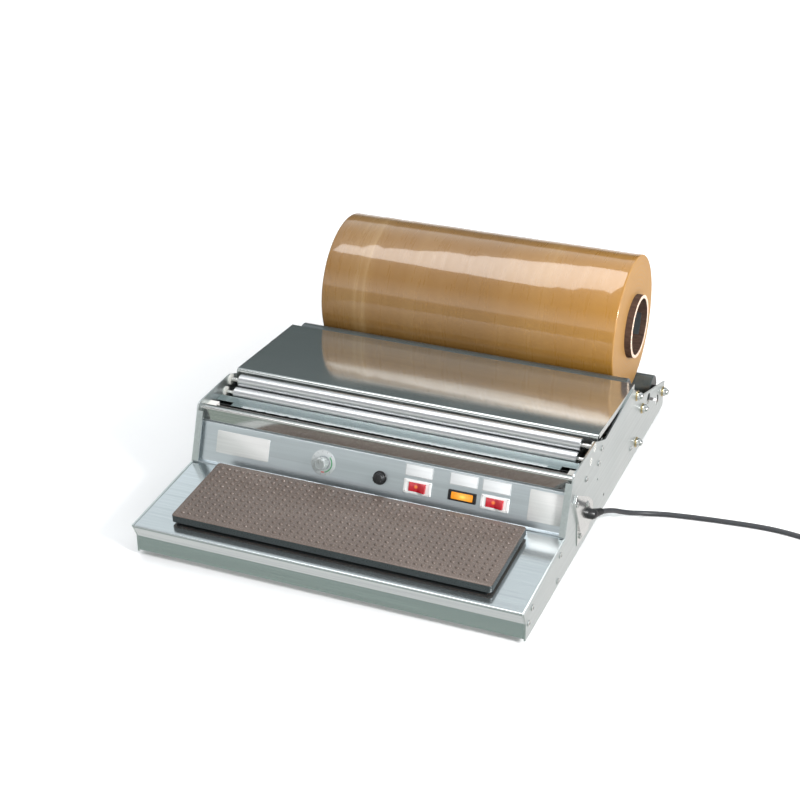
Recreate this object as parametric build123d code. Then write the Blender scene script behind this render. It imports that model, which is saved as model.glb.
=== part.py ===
from build123d import *
import math
import os

# A hand wrapper for food trays: stretch film comes off a roll lying in a cradle, runs over two
# guide rollers, is cut on a heated rod and sealed on a hot plate.
# All sizes are in millimetres. While it is built, X runs to the right, Y goes back from the front
# bottom edge of the side plates and Z up from their bottom edge.

# Frame
machine_width = 485.0       # over the side plates
plate_sheet = 2.0           # side plates
cover_sheet = 1.2           # folded covers, deck and panels
foot_height = 6.0           # floor to the bottom edge of the side plates
foot_radius = 11.0
foot_inset = 27.5           # middle of a foot from the outside of the side plate
foot_front_y = 25.0
foot_rear_y = 560.0

# Outline of the side plates
lip_bottom_z = 22.0
lip_reach = 9.0             # the nose of the lip stands in front of the bottom edge
deck_front_z = 41.0
deck_depth = 139.0          # from the front edge to the foot of the leaning edge
deck_rise = 8.0
panel_lean = 19.5           # degrees from upright
shoulder_z = 119.0
shoulder_behind = 0.5       # corner of the shoulder behind the rear guide roller
shoulder_round = 7.0
shoulder_fall = 46.0        # length of the slope behind the shoulder
bay_front_z = 99.5
bay_tip_y = 421.0
bay_tip_z = 106.5
notch_y = 455.0
notch_z = 78.0
tail_y = 592.0
tail_z = 36.0
tail_bottom_y = 588.0
front_flange = 6.5          # inward flange along the leaning edge
bottom_flange = 14.0        # inward flange that carries the base
bottom_flange_front = 12.0
spare_holes = [(266.0, 58.5), (299.0, 19.5)]
spare_hole_radius = 2.0

# Cut-out of two joined holes in the tail of each side plate
keyhole_front = (503.0, 53.0)
keyhole_rear = (553.0, 26.0)
keyhole_radius = 7.5
keyhole_slot = 4.0

# Deck, panel and cutter
deck_drop = 1.0             # deck below the edge of the side plates
panel_set_back = 8.0        # panel foot behind the foot of the leaning edge
panel_height = 48.0
panel_foot = 5.0            # flange that lies on the deck in front of the panel
panel_return = 9.0          # top flange that carries the fascia rail
fascia_step = 3.0           # fascia behind the top edge of the panel
fascia_height = 18.0
fascia_lean = 3.0           # degrees from upright
rail_round = 3.0
rail_width = 10.0
rail_drop = 14.0
gap_depth = 24.0            # black channel, front to back
channel_bottom_z = 90.0
channel_top_z = 104.0
cutter_radius = 2.5
cutter_z = 104.0
cutter_back = 10.0          # cutter rod behind the rail
block_width = 12.0
block_depth = 14.0
block_top_z = 108.0
strip_z = 103.0
strip_lap = 3.0             # strip over the channel
strip_depth = 24.0
strip_set_back = 9.0        # ends of the strip behind its main edge
strip_tab = 25.0            # length of each set-back end
strip_flange = 14.0
bar_before = 82.0           # rear crossbar in front of the rear cradle roller
bar_height = 24.0
bar_foot = 15.0

# Hot plate
hot_width = 398.0
hot_front_y = 10.0
hot_back_gap = 8.0          # to the foot of the leaning edge
hot_skirt = 9.5
hot_wall = 3.0
hot_gap = 4.0               # under the skirt
hot_round = 4.0
hot_edge = 1.5
mat_sheet = 2.0
tray_inset = 9.0
spacer_radius = 6.0
spacer_inset = (20.0, 15.0)
spacer_height = 2.0

# Cover
cover_behind = 17.5         # front of the cover behind the rear guide roller
cover_front_z = 118.5
cover_rear_y = 430.5
cover_rear_z = 108.6
cover_nose = 13.0
cover_hem = 8.0
cover_round = 4.0
cover_side = 8.0
bracket_depth = 22.0
bracket_width = 14.0
bracket_height = 33.0
bracket_screw_steps = [(3.0, 38.5), (14.0, 23.5)]  # behind and below the cover's front edge

# Rollers
guide_radius = 8.5
guide_end_gap = 14.0        # from the end of a roller to the side plate
guide_wall = 1.8
front_guide_behind = 35.0   # behind the front edge of the strip
front_guide_z = 101.0
rear_guide_step = (14.5, 11.0)
journal_radius = 3.0
bush_wall = 2.0
bush_flange = 1.5
plug_length = 14.0
running_fit = 0.05
end_play = 0.3
cradle_radius = 20.0
cradle_end_gap = 11.5
cradle_wall = 2.0
cap_length = 10.0
hub_radius = 7.0
front_cradle = (439.0, 88.0)
rear_cradle = (582.0, 25.0)
axle_radius = 4.0
roll_gap = 0.3              # between the film roll and the cradle rollers

# Film roll and running film
film_radius = 95.0
film_set_back = 9.5         # edge of the film inside the end of the core
core_bore = 38.0
core_wall = 4.5
core_end_gap = 25.5         # from the core to the side plate
web_set_back = 5.5          # running film inside the edge of the wound film
film_sheet = 0.3
film_gap = 0.4              # between the running film and what it passes
film_rest_behind = 10.034   # the film comes down on the strip here, behind its front edge
film_overhang = 1.466       # torn end of the film in front of the strip

# Rods and screws
guide_rod = (471.0, 54.0)
tie_rod = (449.0, 15.0)
rod_radius = 4.0
washer_radius = 7.0
washer_sheet = 1.2
nut_flats = 10.0
nut_height = 4.0
dome_radius = 4.6
dome_sides = 10
washer_sides = 14
screw_sides = 8
dome_rise = 4.0
screw_radius = 3.6
screw_height = 1.8

# Controls, as (X, height up the leaning panel)
knob_at = (-69.0, 26.0)
fuse_at = (6.0, 22.0)
cutter_switch_at = (54.5, 19.5)
lamp_at = (111.0, 19.5)
plate_switch_at = (151.5, 19.5)
name_plate_at = (-178.0, 26.5)
rating_plate_at = (215.0, 26.5)
knob_radius = 8.0
knob_length = 12.0
knob_lift = 1.0
spindle_radius = 3.0
spindle_depth = 12.0
spindle_end_gap = 0.2
dial_radius = 16.0
thermostat_radius = 14.0
thermostat_depth = 18.0
fuse_radius = 7.0
fuse_length = 8.0
holder_radius = 8.5
holder_sheet = 1.5
barrel_radius = 5.9
barrel_bore = 3.0
barrel_length = 30.0
rocker_width = 21.6
rocker_height = 11.4
rocker_proud = 3.4
pivot_radius = 1.5
pivot_reach = 0.6           # pivot pin in the switch body, at each end
pocket_depth = 8.0
pocket_gap = 0.4
bezel_width = 35.0
bezel_height = 17.0
lamp_height = 12.7
bezel_sheet = 1.6
body_edge = 1.6             # bezel over the cut-out, on each side
switch_depth = 20.0
lens_edge = 4.2
lens_proud = 1.4
label_size = (35.0, 14.5)
label_up = 39.0
name_plate_size = (72.0, 28.0)
rating_plate_size = (46.0, 37.0)
label_sheet = 0.4

# Electrical parts on the base
core_size = (66.0, 30.0, 58.0)
core_middle = (-150.0, 265.0)
core_leg = 11.0
coil_bulge = 12.0
block_size = (60.0, 20.0, 18.0)
block_middle = (170.0, 240.0)
terminal_pitch = 15.0
terminal_size = 4.0
heater_lead_at = (40.0, 100.0)
loom_radius = 3.0
branch_radius = 1.5
wire_sides = 6
loom_y = 240.0

# Mains cord
cord_radius = 3.2
cord_entry = (226.0, 34.3)  # (Y, Z) on the right side plate
boot_radius = 6.5
boot_tip_radius = 4.1
boot_length = 20.5
coil_middle = (556.0, 352.0)
coil_across = 70.0          # at the middle of the turns
coil_turns_wide = 2
coil_turns_high = 3
plug_size = (42.0, 26.0, 20.0)
plug_end = (2.5, 22.7)      # where the cord goes into the plug, from the middle of the coil
pin_radius = 2.4
pin_length = 19.0
pin_pitch = 19.0

half_width = machine_width / 2
inside = half_width - plate_sheet
guide_half = inside - guide_end_gap
cradle_half = inside - cradle_end_gap
core_half = inside - core_end_gap
film_half = core_half - film_set_back
web_half = film_half - web_set_back
hot_depth = deck_depth - hot_front_y - hot_back_gap
lean = math.radians(panel_lean)
lean_up = Vector(0, math.sin(lean), math.cos(lean))
lean_out = Vector(0, -math.cos(lean), math.sin(lean))
deck_slope = math.atan2(deck_rise, deck_depth + lip_reach)
sloped_sheet = cover_sheet / math.cos(deck_slope)
base_top = plate_sheet + cover_sheet


def deck_z(y):
    return deck_front_z - deck_drop + (y + lip_reach) * math.tan(deck_slope)


def roll_seat():
    """Middle of a film roll that lies on both cradle rollers."""
    (fy, fz), (ry, rz) = front_cradle, rear_cradle
    half = math.dist(front_cradle, rear_cradle) / 2
    reach = film_radius + cradle_radius + roll_gap
    lift = math.sqrt(reach ** 2 - half ** 2)
    along = ((ry - fy) / (2 * half), (rz - fz) / (2 * half))
    return ((fy + ry) / 2 - along[1] * lift, (fz + rz) / 2 + along[0] * lift)


roll_middle = roll_seat()
centre_y = (roll_middle[0] + film_radius - lip_reach) / 2

panel_foot_y = deck_depth + panel_set_back
panel_foot_z = deck_z(panel_foot_y) + sloped_sheet
panel = Plane(
    origin=(0, panel_foot_y, panel_foot_z), x_dir=(1, 0, 0), z_dir=tuple(lean_out)
).location
panel_top = Vector(0, panel_foot_y, panel_foot_z) + lean_up * panel_height
rail_foot_y = panel_top.Y + fascia_step
rail_front_y = rail_foot_y + fascia_height * math.tan(math.radians(fascia_lean))
rail_top_z = panel_top.Z + fascia_height
channel_front_y = rail_front_y + rail_width
channel_rear_y = channel_front_y + gap_depth
cutter_y = channel_front_y + cutter_back
strip_front_y = channel_rear_y - strip_lap
strip_rear_y = strip_front_y + strip_depth
film_rest_y = strip_front_y + film_rest_behind
film_end_y = strip_front_y - film_overhang
front_guide = (strip_front_y + front_guide_behind, front_guide_z)
rear_guide = (front_guide[0] + rear_guide_step[0], front_guide_z + rear_guide_step[1])
shoulder_rear_y = rear_guide[0] + shoulder_behind
bay_front_y = shoulder_rear_y + shoulder_fall
cover_front_y = rear_guide[0] + cover_behind
bar_y = rear_cradle[0] - bar_before

deck = Plane(
    origin=(0, hot_front_y, deck_z(hot_front_y)), x_dir=(1, 0, 0),
    z_dir=(0, -math.sin(deck_slope), math.cos(deck_slope)),
).location
hot_top = hot_gap + hot_skirt
mat_top = hot_top - hot_wall
tray_top = mat_top - mat_sheet

os.makedirs("parts", exist_ok=True)


# Helpers

def save(name, *solids):
    """Moves the solids to the part's own origin, under its middle, and writes one node."""
    moved = [s.moved(Location((0, -centre_y, foot_height))) for s in solids]
    shape = moved[0] if len(moved) == 1 else Compound(children=moved)
    export_step(shape, f"parts/{name}.step")


def single(shape):
    return shape.solids()[0]


def both_sides(solid):
    return [solid, mirror(solid, about=Plane.YZ)]


def four_corners(make, x, front_y, rear_y):
    return [make(side, y) for side in (-x, x) for y in (front_y, rear_y)]


def block(x, y, z):
    """Box from its (low, high) limits on each axis."""
    size = [high - low for low, high in (x, y, z)]
    middle = [(high + low) / 2 for low, high in (x, y, z)]
    return Location(middle) * Box(*size)


def span(points, low, high):
    """Polygon of (y, z) points carried from X = low to X = high."""
    face = make_face(Polyline(*[(low, y, z) for y, z in points], close=True))
    return single(extrude(face, amount=high - low, dir=(1, 0, 0)))


def fold(points, bend, half, thickness=cover_sheet):
    """Sheet folded along a line of (y, z) points, its thickness to the right of the line."""
    line = FilletPolyline(*points, radius=bend)
    face = make_face(offset(line, amount=thickness, side=Side.RIGHT))
    upright = Plane(origin=(-half, 0, 0), x_dir=(0, 1, 0), z_dir=(1, 0, 0))
    return single(extrude(upright * face, amount=2 * half, dir=(1, 0, 0)))


def rod(at, radius, low, high):
    y, z = at
    return Location((low, y, z)) * Rotation(0, 90, 0) * Cylinder(
        radius, high - low, align=(Align.CENTER, Align.CENTER, Align.MIN)
    )


def tube(at, outer, bore, low, high):
    return single(rod(at, outer, low, high) - rod(at, bore, low, high))


def upright(radius, x, y, low, high):
    return Location((x, y, low)) * Cylinder(
        radius, high - low, align=(Align.CENTER, Align.CENTER, Align.MIN)
    )


def taper(start, end, radius, end_radius):
    """Cone between two points."""
    run = Vector(*end) - Vector(*start)
    at = Plane(origin=tuple(start), z_dir=tuple(run.normalized())).location
    return at * Cone(radius, end_radius, run.length, align=(Align.CENTER, Align.CENTER, Align.MIN))


def many_sided(at, radius, sides, low, high):
    """Small part about X with flat sides, at (y, z)."""
    turns = [2 * math.pi * n / sides for n in range(sides)]
    return span([(at[0] + radius * math.cos(a), at[1] + radius * math.sin(a)) for a in turns], low, high)


def many_sided_upright(radius, sides, x, y, low, high):
    """Small upright part with flat sides."""
    return Location((x, y, low)) * extrude(RegularPolygon(radius, sides), amount=high - low)


def on_panel(spot, low, high, radius):
    x, up = spot
    return panel * Location((x, up, low)) * Cylinder(
        radius, high - low, align=(Align.CENTER, Align.CENTER, Align.MIN)
    )


def box_on_panel(spot, size, low, high):
    x, up = spot
    return panel * Location((x, up, (low + high) / 2)) * Box(size[0], size[1], high - low)


# Side plates

bush_radius = journal_radius + running_fit + bush_wall
hole_points = (
    [(at, bush_radius) for at in (rear_guide, front_guide)]
    + [(at, axle_radius) for at in (front_cradle, rear_cradle)]
    + [(at, rod_radius) for at in (guide_rod, tie_rod)]
    + [(at, keyhole_radius) for at in (keyhole_front, keyhole_rear)]
    + [(at, spare_hole_radius) for at in spare_holes]
)
side_screws = [(20.4, 31.0), (9.0, 18.0), (115.0, 6.5), (121.0, 38.0), (216.5, 86.0), (422.0, 19.5)]
bracket_screws = [(cover_front_y + back, cover_front_z - down) for back, down in bracket_screw_steps]
clamp_screws = [(171.5, 77.0), (217.0, 53.0)]
flap_screw = (198.0, 19.0)


def plate_outline():
    foot_z = deck_front_z + deck_rise
    shoulder_y = deck_depth + (shoulder_z - foot_z) * math.tan(lean)
    return [
        (0, 0), (0, lip_bottom_z), (-lip_reach, deck_front_z), (deck_depth, foot_z),
        (shoulder_y, shoulder_z), (shoulder_rear_y, shoulder_z), (bay_front_y, bay_front_z),
        (bay_tip_y, bay_tip_z), (notch_y, notch_z), (tail_y, tail_z), (tail_bottom_y, 0),
    ]


def keyhole_slot_cut():
    (ay, az), (by, bz) = keyhole_front, keyhole_rear
    turn = math.degrees(math.atan2(bz - az, by - ay))
    return Location((half_width, (ay + by) / 2, (az + bz) / 2)) * Rotation(turn, 0, 0) * Box(
        4 * plate_sheet, math.dist(keyhole_front, keyhole_rear), keyhole_slot
    )


def side_plate():
    """Right-hand plate: folded sheet with two flanges and all its holes."""
    outline = plate_outline()
    plate = span(outline, inside, half_width)
    shoulder = outline[4]
    rounded = [
        e for e in plate.edges().filter_by(Axis.X)
        if math.dist((e.center().Y, e.center().Z), shoulder) < 0.1
    ]
    plate = fillet(rounded, shoulder_round)
    foot = Vector(0, deck_depth, deck_front_z + deck_rise) + lean_up
    top = foot + lean_up * (panel_height + fascia_height - 3)
    strip = [foot, top, top - lean_out * plate_sheet, foot - lean_out * plate_sheet]
    plate += span([(p.Y, p.Z) for p in strip], inside - front_flange, inside)
    plate += block((inside - bottom_flange, inside), (bottom_flange_front, tail_bottom_y - 8), (0, plate_sheet))
    for at, radius in hole_points:
        plate -= rod(at, radius, inside - 1, half_width + 1)
    return single(plate - keyhole_slot_cut())


right_plate = side_plate()
save("left_side_plate", mirror(right_plate, about=Plane.YZ))
save("right_side_plate", single(right_plate - rod(cord_entry, cord_radius, inside - 1, half_width + 1)))

# Base, crossbar and feet
foot_x = half_width - foot_inset
base = block((-inside, inside), (cover_sheet, tail_bottom_y - 4), (plate_sheet, base_top))
save("base_plate", single(base))
bar_foot_part = block((-inside, inside), (bar_y - bar_foot, bar_y), (base_top, base_top + cover_sheet))
bar_wall = block((-inside, inside), (bar_y - cover_sheet, bar_y), (base_top, base_top + bar_height))
save("rear_crossbar", single(bar_foot_part + bar_wall))


def foot(x, y):
    return single(many_sided_upright(foot_radius, washer_sides, x, y, -foot_height, plate_sheet))


def foot_screw(x, y):
    return single(many_sided_upright(screw_radius, screw_sides, x, y, base_top, base_top + screw_height))


save("feet", *four_corners(foot, foot_x, foot_front_y, foot_rear_y))
save("foot_screws", *four_corners(foot_screw, foot_x, foot_front_y, foot_rear_y))

# Front deck and control panel
deck_rear_y = panel_foot_y + 6
deck_line = [(0, plate_sheet), (0, lip_bottom_z), (-lip_reach, deck_z(-lip_reach)), (deck_rear_y, deck_z(deck_rear_y))]
front_deck = fold(deck_line, 2.0, inside)
save("front_deck", front_deck)

foot_tip_y = panel_foot_y - panel_foot
panel_line = [
    (foot_tip_y, deck_z(foot_tip_y) + sloped_sheet), (panel_foot_y, panel_foot_z),
    (panel_top.Y, panel_top.Z), (panel_top.Y + panel_return, panel_top.Z),
]
cut_out = (bezel_width - 2 * body_edge, bezel_height - 2 * body_edge)
lamp_cut_out = (bezel_width - 2 * body_edge, lamp_height - 2 * body_edge)
panel_sheet = fold(panel_line, 1.0, inside)
panel_sheet -= on_panel(knob_at, -3, 1, spindle_radius + 1)
panel_sheet -= on_panel(fuse_at, -3, 1, barrel_radius)
for spot in (cutter_switch_at, plate_switch_at):
    panel_sheet -= box_on_panel(spot, cut_out, -3, 1)
panel_sheet -= box_on_panel(lamp_at, lamp_cut_out, -3, 1)
save("control_panel", single(panel_sheet))

rail_line = [
    (panel_top.Y + panel_return, panel_top.Z), (rail_foot_y, panel_top.Z),
    (rail_front_y, rail_top_z), (channel_front_y, rail_top_z), (channel_front_y, rail_top_z - rail_drop),
]
save("fascia_rail", fold(rail_line, [1.6, rail_round, rail_round], inside))

# Cutter channel, rod and film rest strip
strip_under = strip_z - cover_sheet
channel_line = [
    (channel_rear_y, strip_under), (channel_rear_y, channel_bottom_z),
    (channel_front_y, channel_bottom_z), (channel_front_y, channel_top_z),
]
save("cutter_channel", fold(channel_line, 2.0, inside))

block_floor = channel_bottom_z + cover_sheet
cutter_at = (cutter_y, cutter_z)
cutter_block = block(
    (inside - block_width, inside), (cutter_y - block_depth / 2, cutter_y + block_depth / 2),
    (block_floor, block_top_z),
) - rod(cutter_at, cutter_radius, inside - block_width - 1, inside - 3)
save("cutter_blocks", *both_sides(single(cutter_block)))
save("cutter_rod", single(rod(cutter_at, cutter_radius, 3 - inside, inside - 3)))

strip_line = [(strip_front_y, strip_z), (strip_rear_y, strip_z), (strip_rear_y, strip_z - strip_flange)]
rest_strip = fold(strip_line, 2.0, inside)
for low, high in ((-inside - 1, strip_tab - inside), (inside - strip_tab, inside + 1)):
    rest_strip -= block((low, high), (strip_front_y - 1, strip_front_y + strip_set_back), (strip_z - 5, strip_z + 5))
save("film_rest_strip", single(rest_strip))

# Top cover and its brackets
cover_line = [
    (cover_front_y + cover_hem, cover_front_z - cover_nose), (cover_front_y, cover_front_z - cover_nose),
    (cover_front_y, cover_front_z), (cover_rear_y, cover_rear_z),
]
top_cover = fold(cover_line, [2.0, cover_round], inside)
cover_flange = span(
    [
        (cover_front_y + cover_hem, cover_front_z - 1.5), (cover_rear_y, cover_rear_z - 1),
        (cover_rear_y, cover_rear_z - cover_side), (cover_front_y + cover_hem, cover_front_z - cover_side),
    ],
    inside - cover_sheet, inside,
)
for piece in both_sides(cover_flange):
    top_cover += piece
save("top_cover", single(top_cover))

bracket_top = cover_front_z - cover_nose
bracket_y = (cover_front_y, cover_front_y + bracket_depth)
bracket = block((inside - plate_sheet, inside), bracket_y, (bracket_top - bracket_height, bracket_top))
bracket += block((inside - bracket_width, inside), bracket_y, (bracket_top - plate_sheet, bracket_top))
save("cover_brackets", *both_sides(single(bracket)))

# Hot plate
hot_side = (-hot_width / 2, hot_width / 2)
plate_body = block(hot_side, (0, hot_depth), (hot_gap, hot_top))
plate_body = fillet(plate_body.edges().filter_by(Axis.Z), hot_round)
plate_body = chamfer(plate_body.faces().sort_by(Axis.Z)[-1].edges(), hot_edge)
plate_body -= block(
    (hot_wall - hot_width / 2, hot_width / 2 - hot_wall), (hot_wall, hot_depth - hot_wall),
    (hot_gap - 1, mat_top),
)
tray_x = (tray_inset - hot_width / 2, hot_width / 2 - tray_inset)
tray_y = (tray_inset, hot_depth - tray_inset)
tray_body = block(tray_x, tray_y, (spacer_height, tray_top)) - block(
    (tray_x[0] + cover_sheet, tray_x[1] - cover_sheet), (tray_y[0] + cover_sheet, tray_y[1] - cover_sheet),
    (spacer_height + cover_sheet, tray_top + 1),
)


def spacer(x, y):
    return deck * single(many_sided_upright(spacer_radius, screw_sides, x, y, 0, spacer_height))


save("hot_plate", deck * single(plate_body))
save("heater_mat", deck * single(block(tray_x, tray_y, (tray_top, mat_top))))
save("hot_plate_tray", deck * single(tray_body))
save(
    "plate_standoffs",
    *four_corners(spacer, tray_x[1] - spacer_inset[0], tray_y[0] + spacer_inset[1], tray_y[1] - spacer_inset[1]),
)


# Guide rollers

def guide_journal(at):
    """Plug in the tube end with the journal that turns in the bush."""
    plug = rod(at, guide_radius - guide_wall, guide_half - plug_length, guide_half)
    return single(plug + rod(at, journal_radius, guide_half, half_width - 0.5))


def guide_bush(at):
    bush = rod(at, bush_radius, inside, half_width) + rod(at, bush_radius + bush_wall, inside - bush_flange, inside)
    return single(bush - rod(at, journal_radius + running_fit, inside - 5, half_width + 1))


for name, at in (("front", front_guide), ("rear", rear_guide)):
    save(f"{name}_guide_tube", tube(at, guide_radius, guide_radius - guide_wall, -guide_half, guide_half))
    save(f"{name}_guide_journals", *both_sides(guide_journal(at)))
save("guide_bushes", *both_sides(guide_bush(front_guide)), *both_sides(guide_bush(rear_guide)))


# Cradle rollers on fixed axles

def cradle_cap(at):
    """Roller end: a disc in the tube and a hub that keeps it clear of the side plate."""
    cap = rod(at, cradle_radius - cradle_wall, cradle_half - cap_length, cradle_half)
    cap += rod(at, hub_radius, cradle_half, inside - end_play)
    return single(cap - rod(at, axle_radius + running_fit, cradle_half - cap_length - 1, inside))


for name, at in (("front", front_cradle), ("rear", rear_cradle)):
    save(f"{name}_cradle_tube", tube(at, cradle_radius, cradle_radius - cradle_wall, -cradle_half, cradle_half))
    save(f"{name}_cradle_caps", *both_sides(cradle_cap(at)))
    save(f"{name}_cradle_axle", single(rod(at, axle_radius, -half_width, half_width)))


# Rods, nuts and screws

def dome_nut(at):
    """Washer and domed nut on the outside of the right side plate."""
    nut_base = half_width + washer_sheet
    nut_top = nut_base + nut_height
    nut = many_sided(at, washer_radius, washer_sides, half_width, nut_base)
    nut += many_sided(at, nut_flats / math.sqrt(3), 6, nut_base, nut_top)
    dome = many_sided(at, dome_radius, dome_sides, nut_top, nut_top + dome_rise)
    return single(nut + chamfer(dome.faces().sort_by(Axis.X)[-1].edges(), dome_rise / 2))


def side_screw(at, seat=half_width):
    return many_sided(at, screw_radius, screw_sides, seat, seat + screw_height)


save("film_guide_rod", single(rod(guide_rod, rod_radius, -half_width, half_width)))
save("tie_rod", single(rod(tie_rod, rod_radius, -half_width, half_width)))
axle_nuts = [dome_nut(at) for at in (front_cradle, rear_cradle)]
rod_nuts = [dome_nut(at) for at in (guide_rod, tie_rod)]
save("axle_nuts", *[n for nut in axle_nuts for n in both_sides(nut)])
save("rod_nuts", *[n for nut in rod_nuts for n in both_sides(nut)])
screw_heads = [s for at in side_screws + bracket_screws for s in both_sides(side_screw(at))]

# Film roll
core_outer = core_bore + core_wall
save("film_winding", tube(roll_middle, film_radius, core_outer, -film_half, film_half))
save("core_tube", tube(roll_middle, core_outer, core_bore, -core_half, core_half))


# Running film

def film_tangent(first, second):
    """Line the film runs on between two rollers, each (centre, radius, side): normal and offset."""
    (p, r, s), (q, t, u) = first, second
    step = (q[0] - p[0], q[1] - p[1])
    turn = math.acos((u * t - s * r) / math.hypot(*step))
    angle = math.atan2(step[1], step[0]) + turn
    normal = (math.cos(angle), math.sin(angle))
    return normal, normal[0] * p[0] + normal[1] * p[1] - s * r


def crossing(first, second):
    """Point where two such lines meet."""
    (n, k), (m, j) = first, second
    scale = n[0] * m[1] - n[1] * m[0]
    return ((k * m[1] - j * n[1]) / scale, (n[0] * j - m[0] * k) / scale)


above = film_gap + film_sheet
film_stops = [
    (roll_middle, film_radius + above, -1), (guide_rod, rod_radius + above, -1),
    (rear_guide, guide_radius + above, -1), (front_guide, guide_radius + film_gap, 1),
    ((film_rest_y, strip_z), 0, 1),
]
runs = [film_tangent(a, b) for a, b in zip(film_stops, film_stops[1:])]
off_roll = runs[0][0]
film_start = tuple(c + film_stops[0][1] * n for c, n in zip(roll_middle, off_roll))
corners = [crossing(a, b) for a, b in zip(runs, runs[1:])]
film_line = [film_start, *corners, (film_rest_y, strip_z), (film_end_y, strip_z)]
bends = [stop[1] for stop in film_stops[1:4]] + [10.0]
save("film_web", fold(film_line, bends, web_half, film_sheet))

# Thermostat, fuse, switches and lamp
knob = on_panel(knob_at, knob_lift, knob_lift + knob_length, knob_radius)
knob = chamfer(knob.faces().sort_by(lambda f: f.center().Y)[0].edges(), 1.0)
knob += on_panel(knob_at, -spindle_depth, knob_lift, spindle_radius)
save("thermostat_knob", single(knob))
thermostat = on_panel(knob_at, -cover_sheet - thermostat_depth, -cover_sheet, thermostat_radius)
spindle_hole = on_panel(knob_at, -spindle_depth - spindle_end_gap, 0, spindle_radius + running_fit)
thermostat = single(thermostat - spindle_hole)
save("thermostat_body", thermostat)
dial = on_panel(knob_at, 0, label_sheet, dial_radius) - on_panel(knob_at, -1, 1, knob_radius - 1)
save("dial_ring", single(dial))

cap_base = holder_sheet + 0.1
cap = on_panel(fuse_at, cap_base, cap_base + fuse_length, fuse_radius)
cap += on_panel(fuse_at, -8, cap_base, barrel_bore)
save("fuse_cap", single(cap))
holder = on_panel(fuse_at, 0, holder_sheet, holder_radius) + on_panel(fuse_at, -barrel_length, 0, barrel_radius)
holder = single(holder - on_panel(fuse_at, -8.2, 3, barrel_bore + running_fit))
save("fuse_holder", holder)


def rocker(spot):
    """Rocker that turns on two pins: left half pressed in, right half standing out."""
    x, up = spot
    half = rocker_width / 2
    flush = bezel_sheet + 0.2
    profile = Polyline(
        (-half - 1, -3.5), (-half - 1, flush), (0, flush),
        (half + 1, flush + rocker_proud * (half + 1) / half), (half + 1, -3.5), close=True,
    )
    wedge = extrude(Plane.XZ * make_face(profile), amount=rocker_height / 2, both=True)
    drum = Rotation(90, 0, 0) * Cylinder(half, rocker_height + 2)
    pin_length_over = rocker_height + 2 * (pocket_gap + pivot_reach)
    pins = Rotation(90, 0, 0) * Cylinder(pivot_radius, pin_length_over)
    return panel * Location((x, up, 0)) * single((wedge & drum) + pins)


def switch_body(spot):
    pocket = (rocker_width + 2 * pocket_gap, rocker_height + 2 * pocket_gap)
    body = box_on_panel(spot, (bezel_width, bezel_height), 0, bezel_sheet)
    body += box_on_panel(spot, cut_out, -switch_depth, 0)
    body -= box_on_panel(spot, pocket, -pocket_depth, bezel_sheet + 1)
    x, up = spot
    pin_hole = Cylinder(pivot_radius + running_fit, pocket[1] + 2 * pivot_reach + 0.1)
    return single(body - panel * Location((x, up, 0)) * Rotation(90, 0, 0) * pin_hole)


save("cutter_rocker", rocker(cutter_switch_at))
save("plate_rocker", rocker(plate_switch_at))
cutter_switch = switch_body(cutter_switch_at)
plate_switch = switch_body(plate_switch_at)
save("cutter_switch", cutter_switch)
save("plate_switch", plate_switch)

lens_size = (bezel_width - 2 * lens_edge, lamp_height - lens_edge)
lamp = box_on_panel(lamp_at, (bezel_width, lamp_height), 0, bezel_sheet)
lamp += box_on_panel(lamp_at, lamp_cut_out, -switch_depth, 0)
lamp -= box_on_panel(lamp_at, lens_size, -1, bezel_sheet + 1)
lamp = single(lamp)
save("lamp_bezel", lamp)
save("lamp_lens", single(box_on_panel(lamp_at, lens_size, -1, bezel_sheet + lens_proud)))

# Label plates, all blank
labels = [
    box_on_panel((spot[0], label_up), label_size, 0, label_sheet)
    for spot in (cutter_switch_at, lamp_at, plate_switch_at)
]
save("switch_labels", *[single(label) for label in labels])
name_plate = box_on_panel(name_plate_at, name_plate_size, 0, label_sheet)
rating_plate = box_on_panel(rating_plate_at, rating_plate_size, 0, label_sheet)
save("end_plates", single(name_plate), single(rating_plate))

# Transformer, terminal block and wiring on the base
cx, cy = core_middle
core_x, core_y, core_z = core_size
core_span = (cx - core_x / 2, cx + core_x / 2)
core = block(core_span, (cy - core_y / 2, cy + core_y / 2), (base_top, base_top + core_z))
window_z = (base_top + core_leg, base_top + core_z - core_leg)
windows = [
    block((core_span[0] + core_leg, cx - core_leg), (cy - core_y, cy + core_y), window_z),
    block((cx + core_leg, core_span[1] - core_leg), (cy - core_y, cy + core_y), window_z),
]
for window in windows:
    core -= window
winding = block(
    (core_span[0] + core_leg, core_span[1] - core_leg),
    (cy - core_y / 2 - coil_bulge, cy + core_y / 2 + coil_bulge), window_z,
)
save("transformer_core", single(core))
save("transformer_coil", single(winding - core))

bx, by = block_middle
width, depth, height = block_size
terminals = block((bx - width / 2, bx + width / 2), (by - depth / 2, by + depth / 2), (base_top, base_top + height))
for n in range(4):
    x = bx + (n - 1.5) * terminal_pitch
    terminals -= block(
        (x - terminal_size / 2, x + terminal_size / 2), (by - terminal_size / 2, by + terminal_size / 2),
        (base_top + height - 6, base_top + height + 1),
    )
save("terminal_block", single(terminals))


def behind(spot, depth):
    """Point behind a control, on the back of its body."""
    point = panel * Location((spot[0], spot[1], -depth))
    return tuple(point.position)


def wire(start, end):
    run = Vector(*end) - Vector(*start)
    at = Plane(origin=tuple(start), z_dir=tuple(run.normalized())).location
    return at * extrude(RegularPolygon(branch_radius, wire_sides), amount=run.length)


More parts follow.
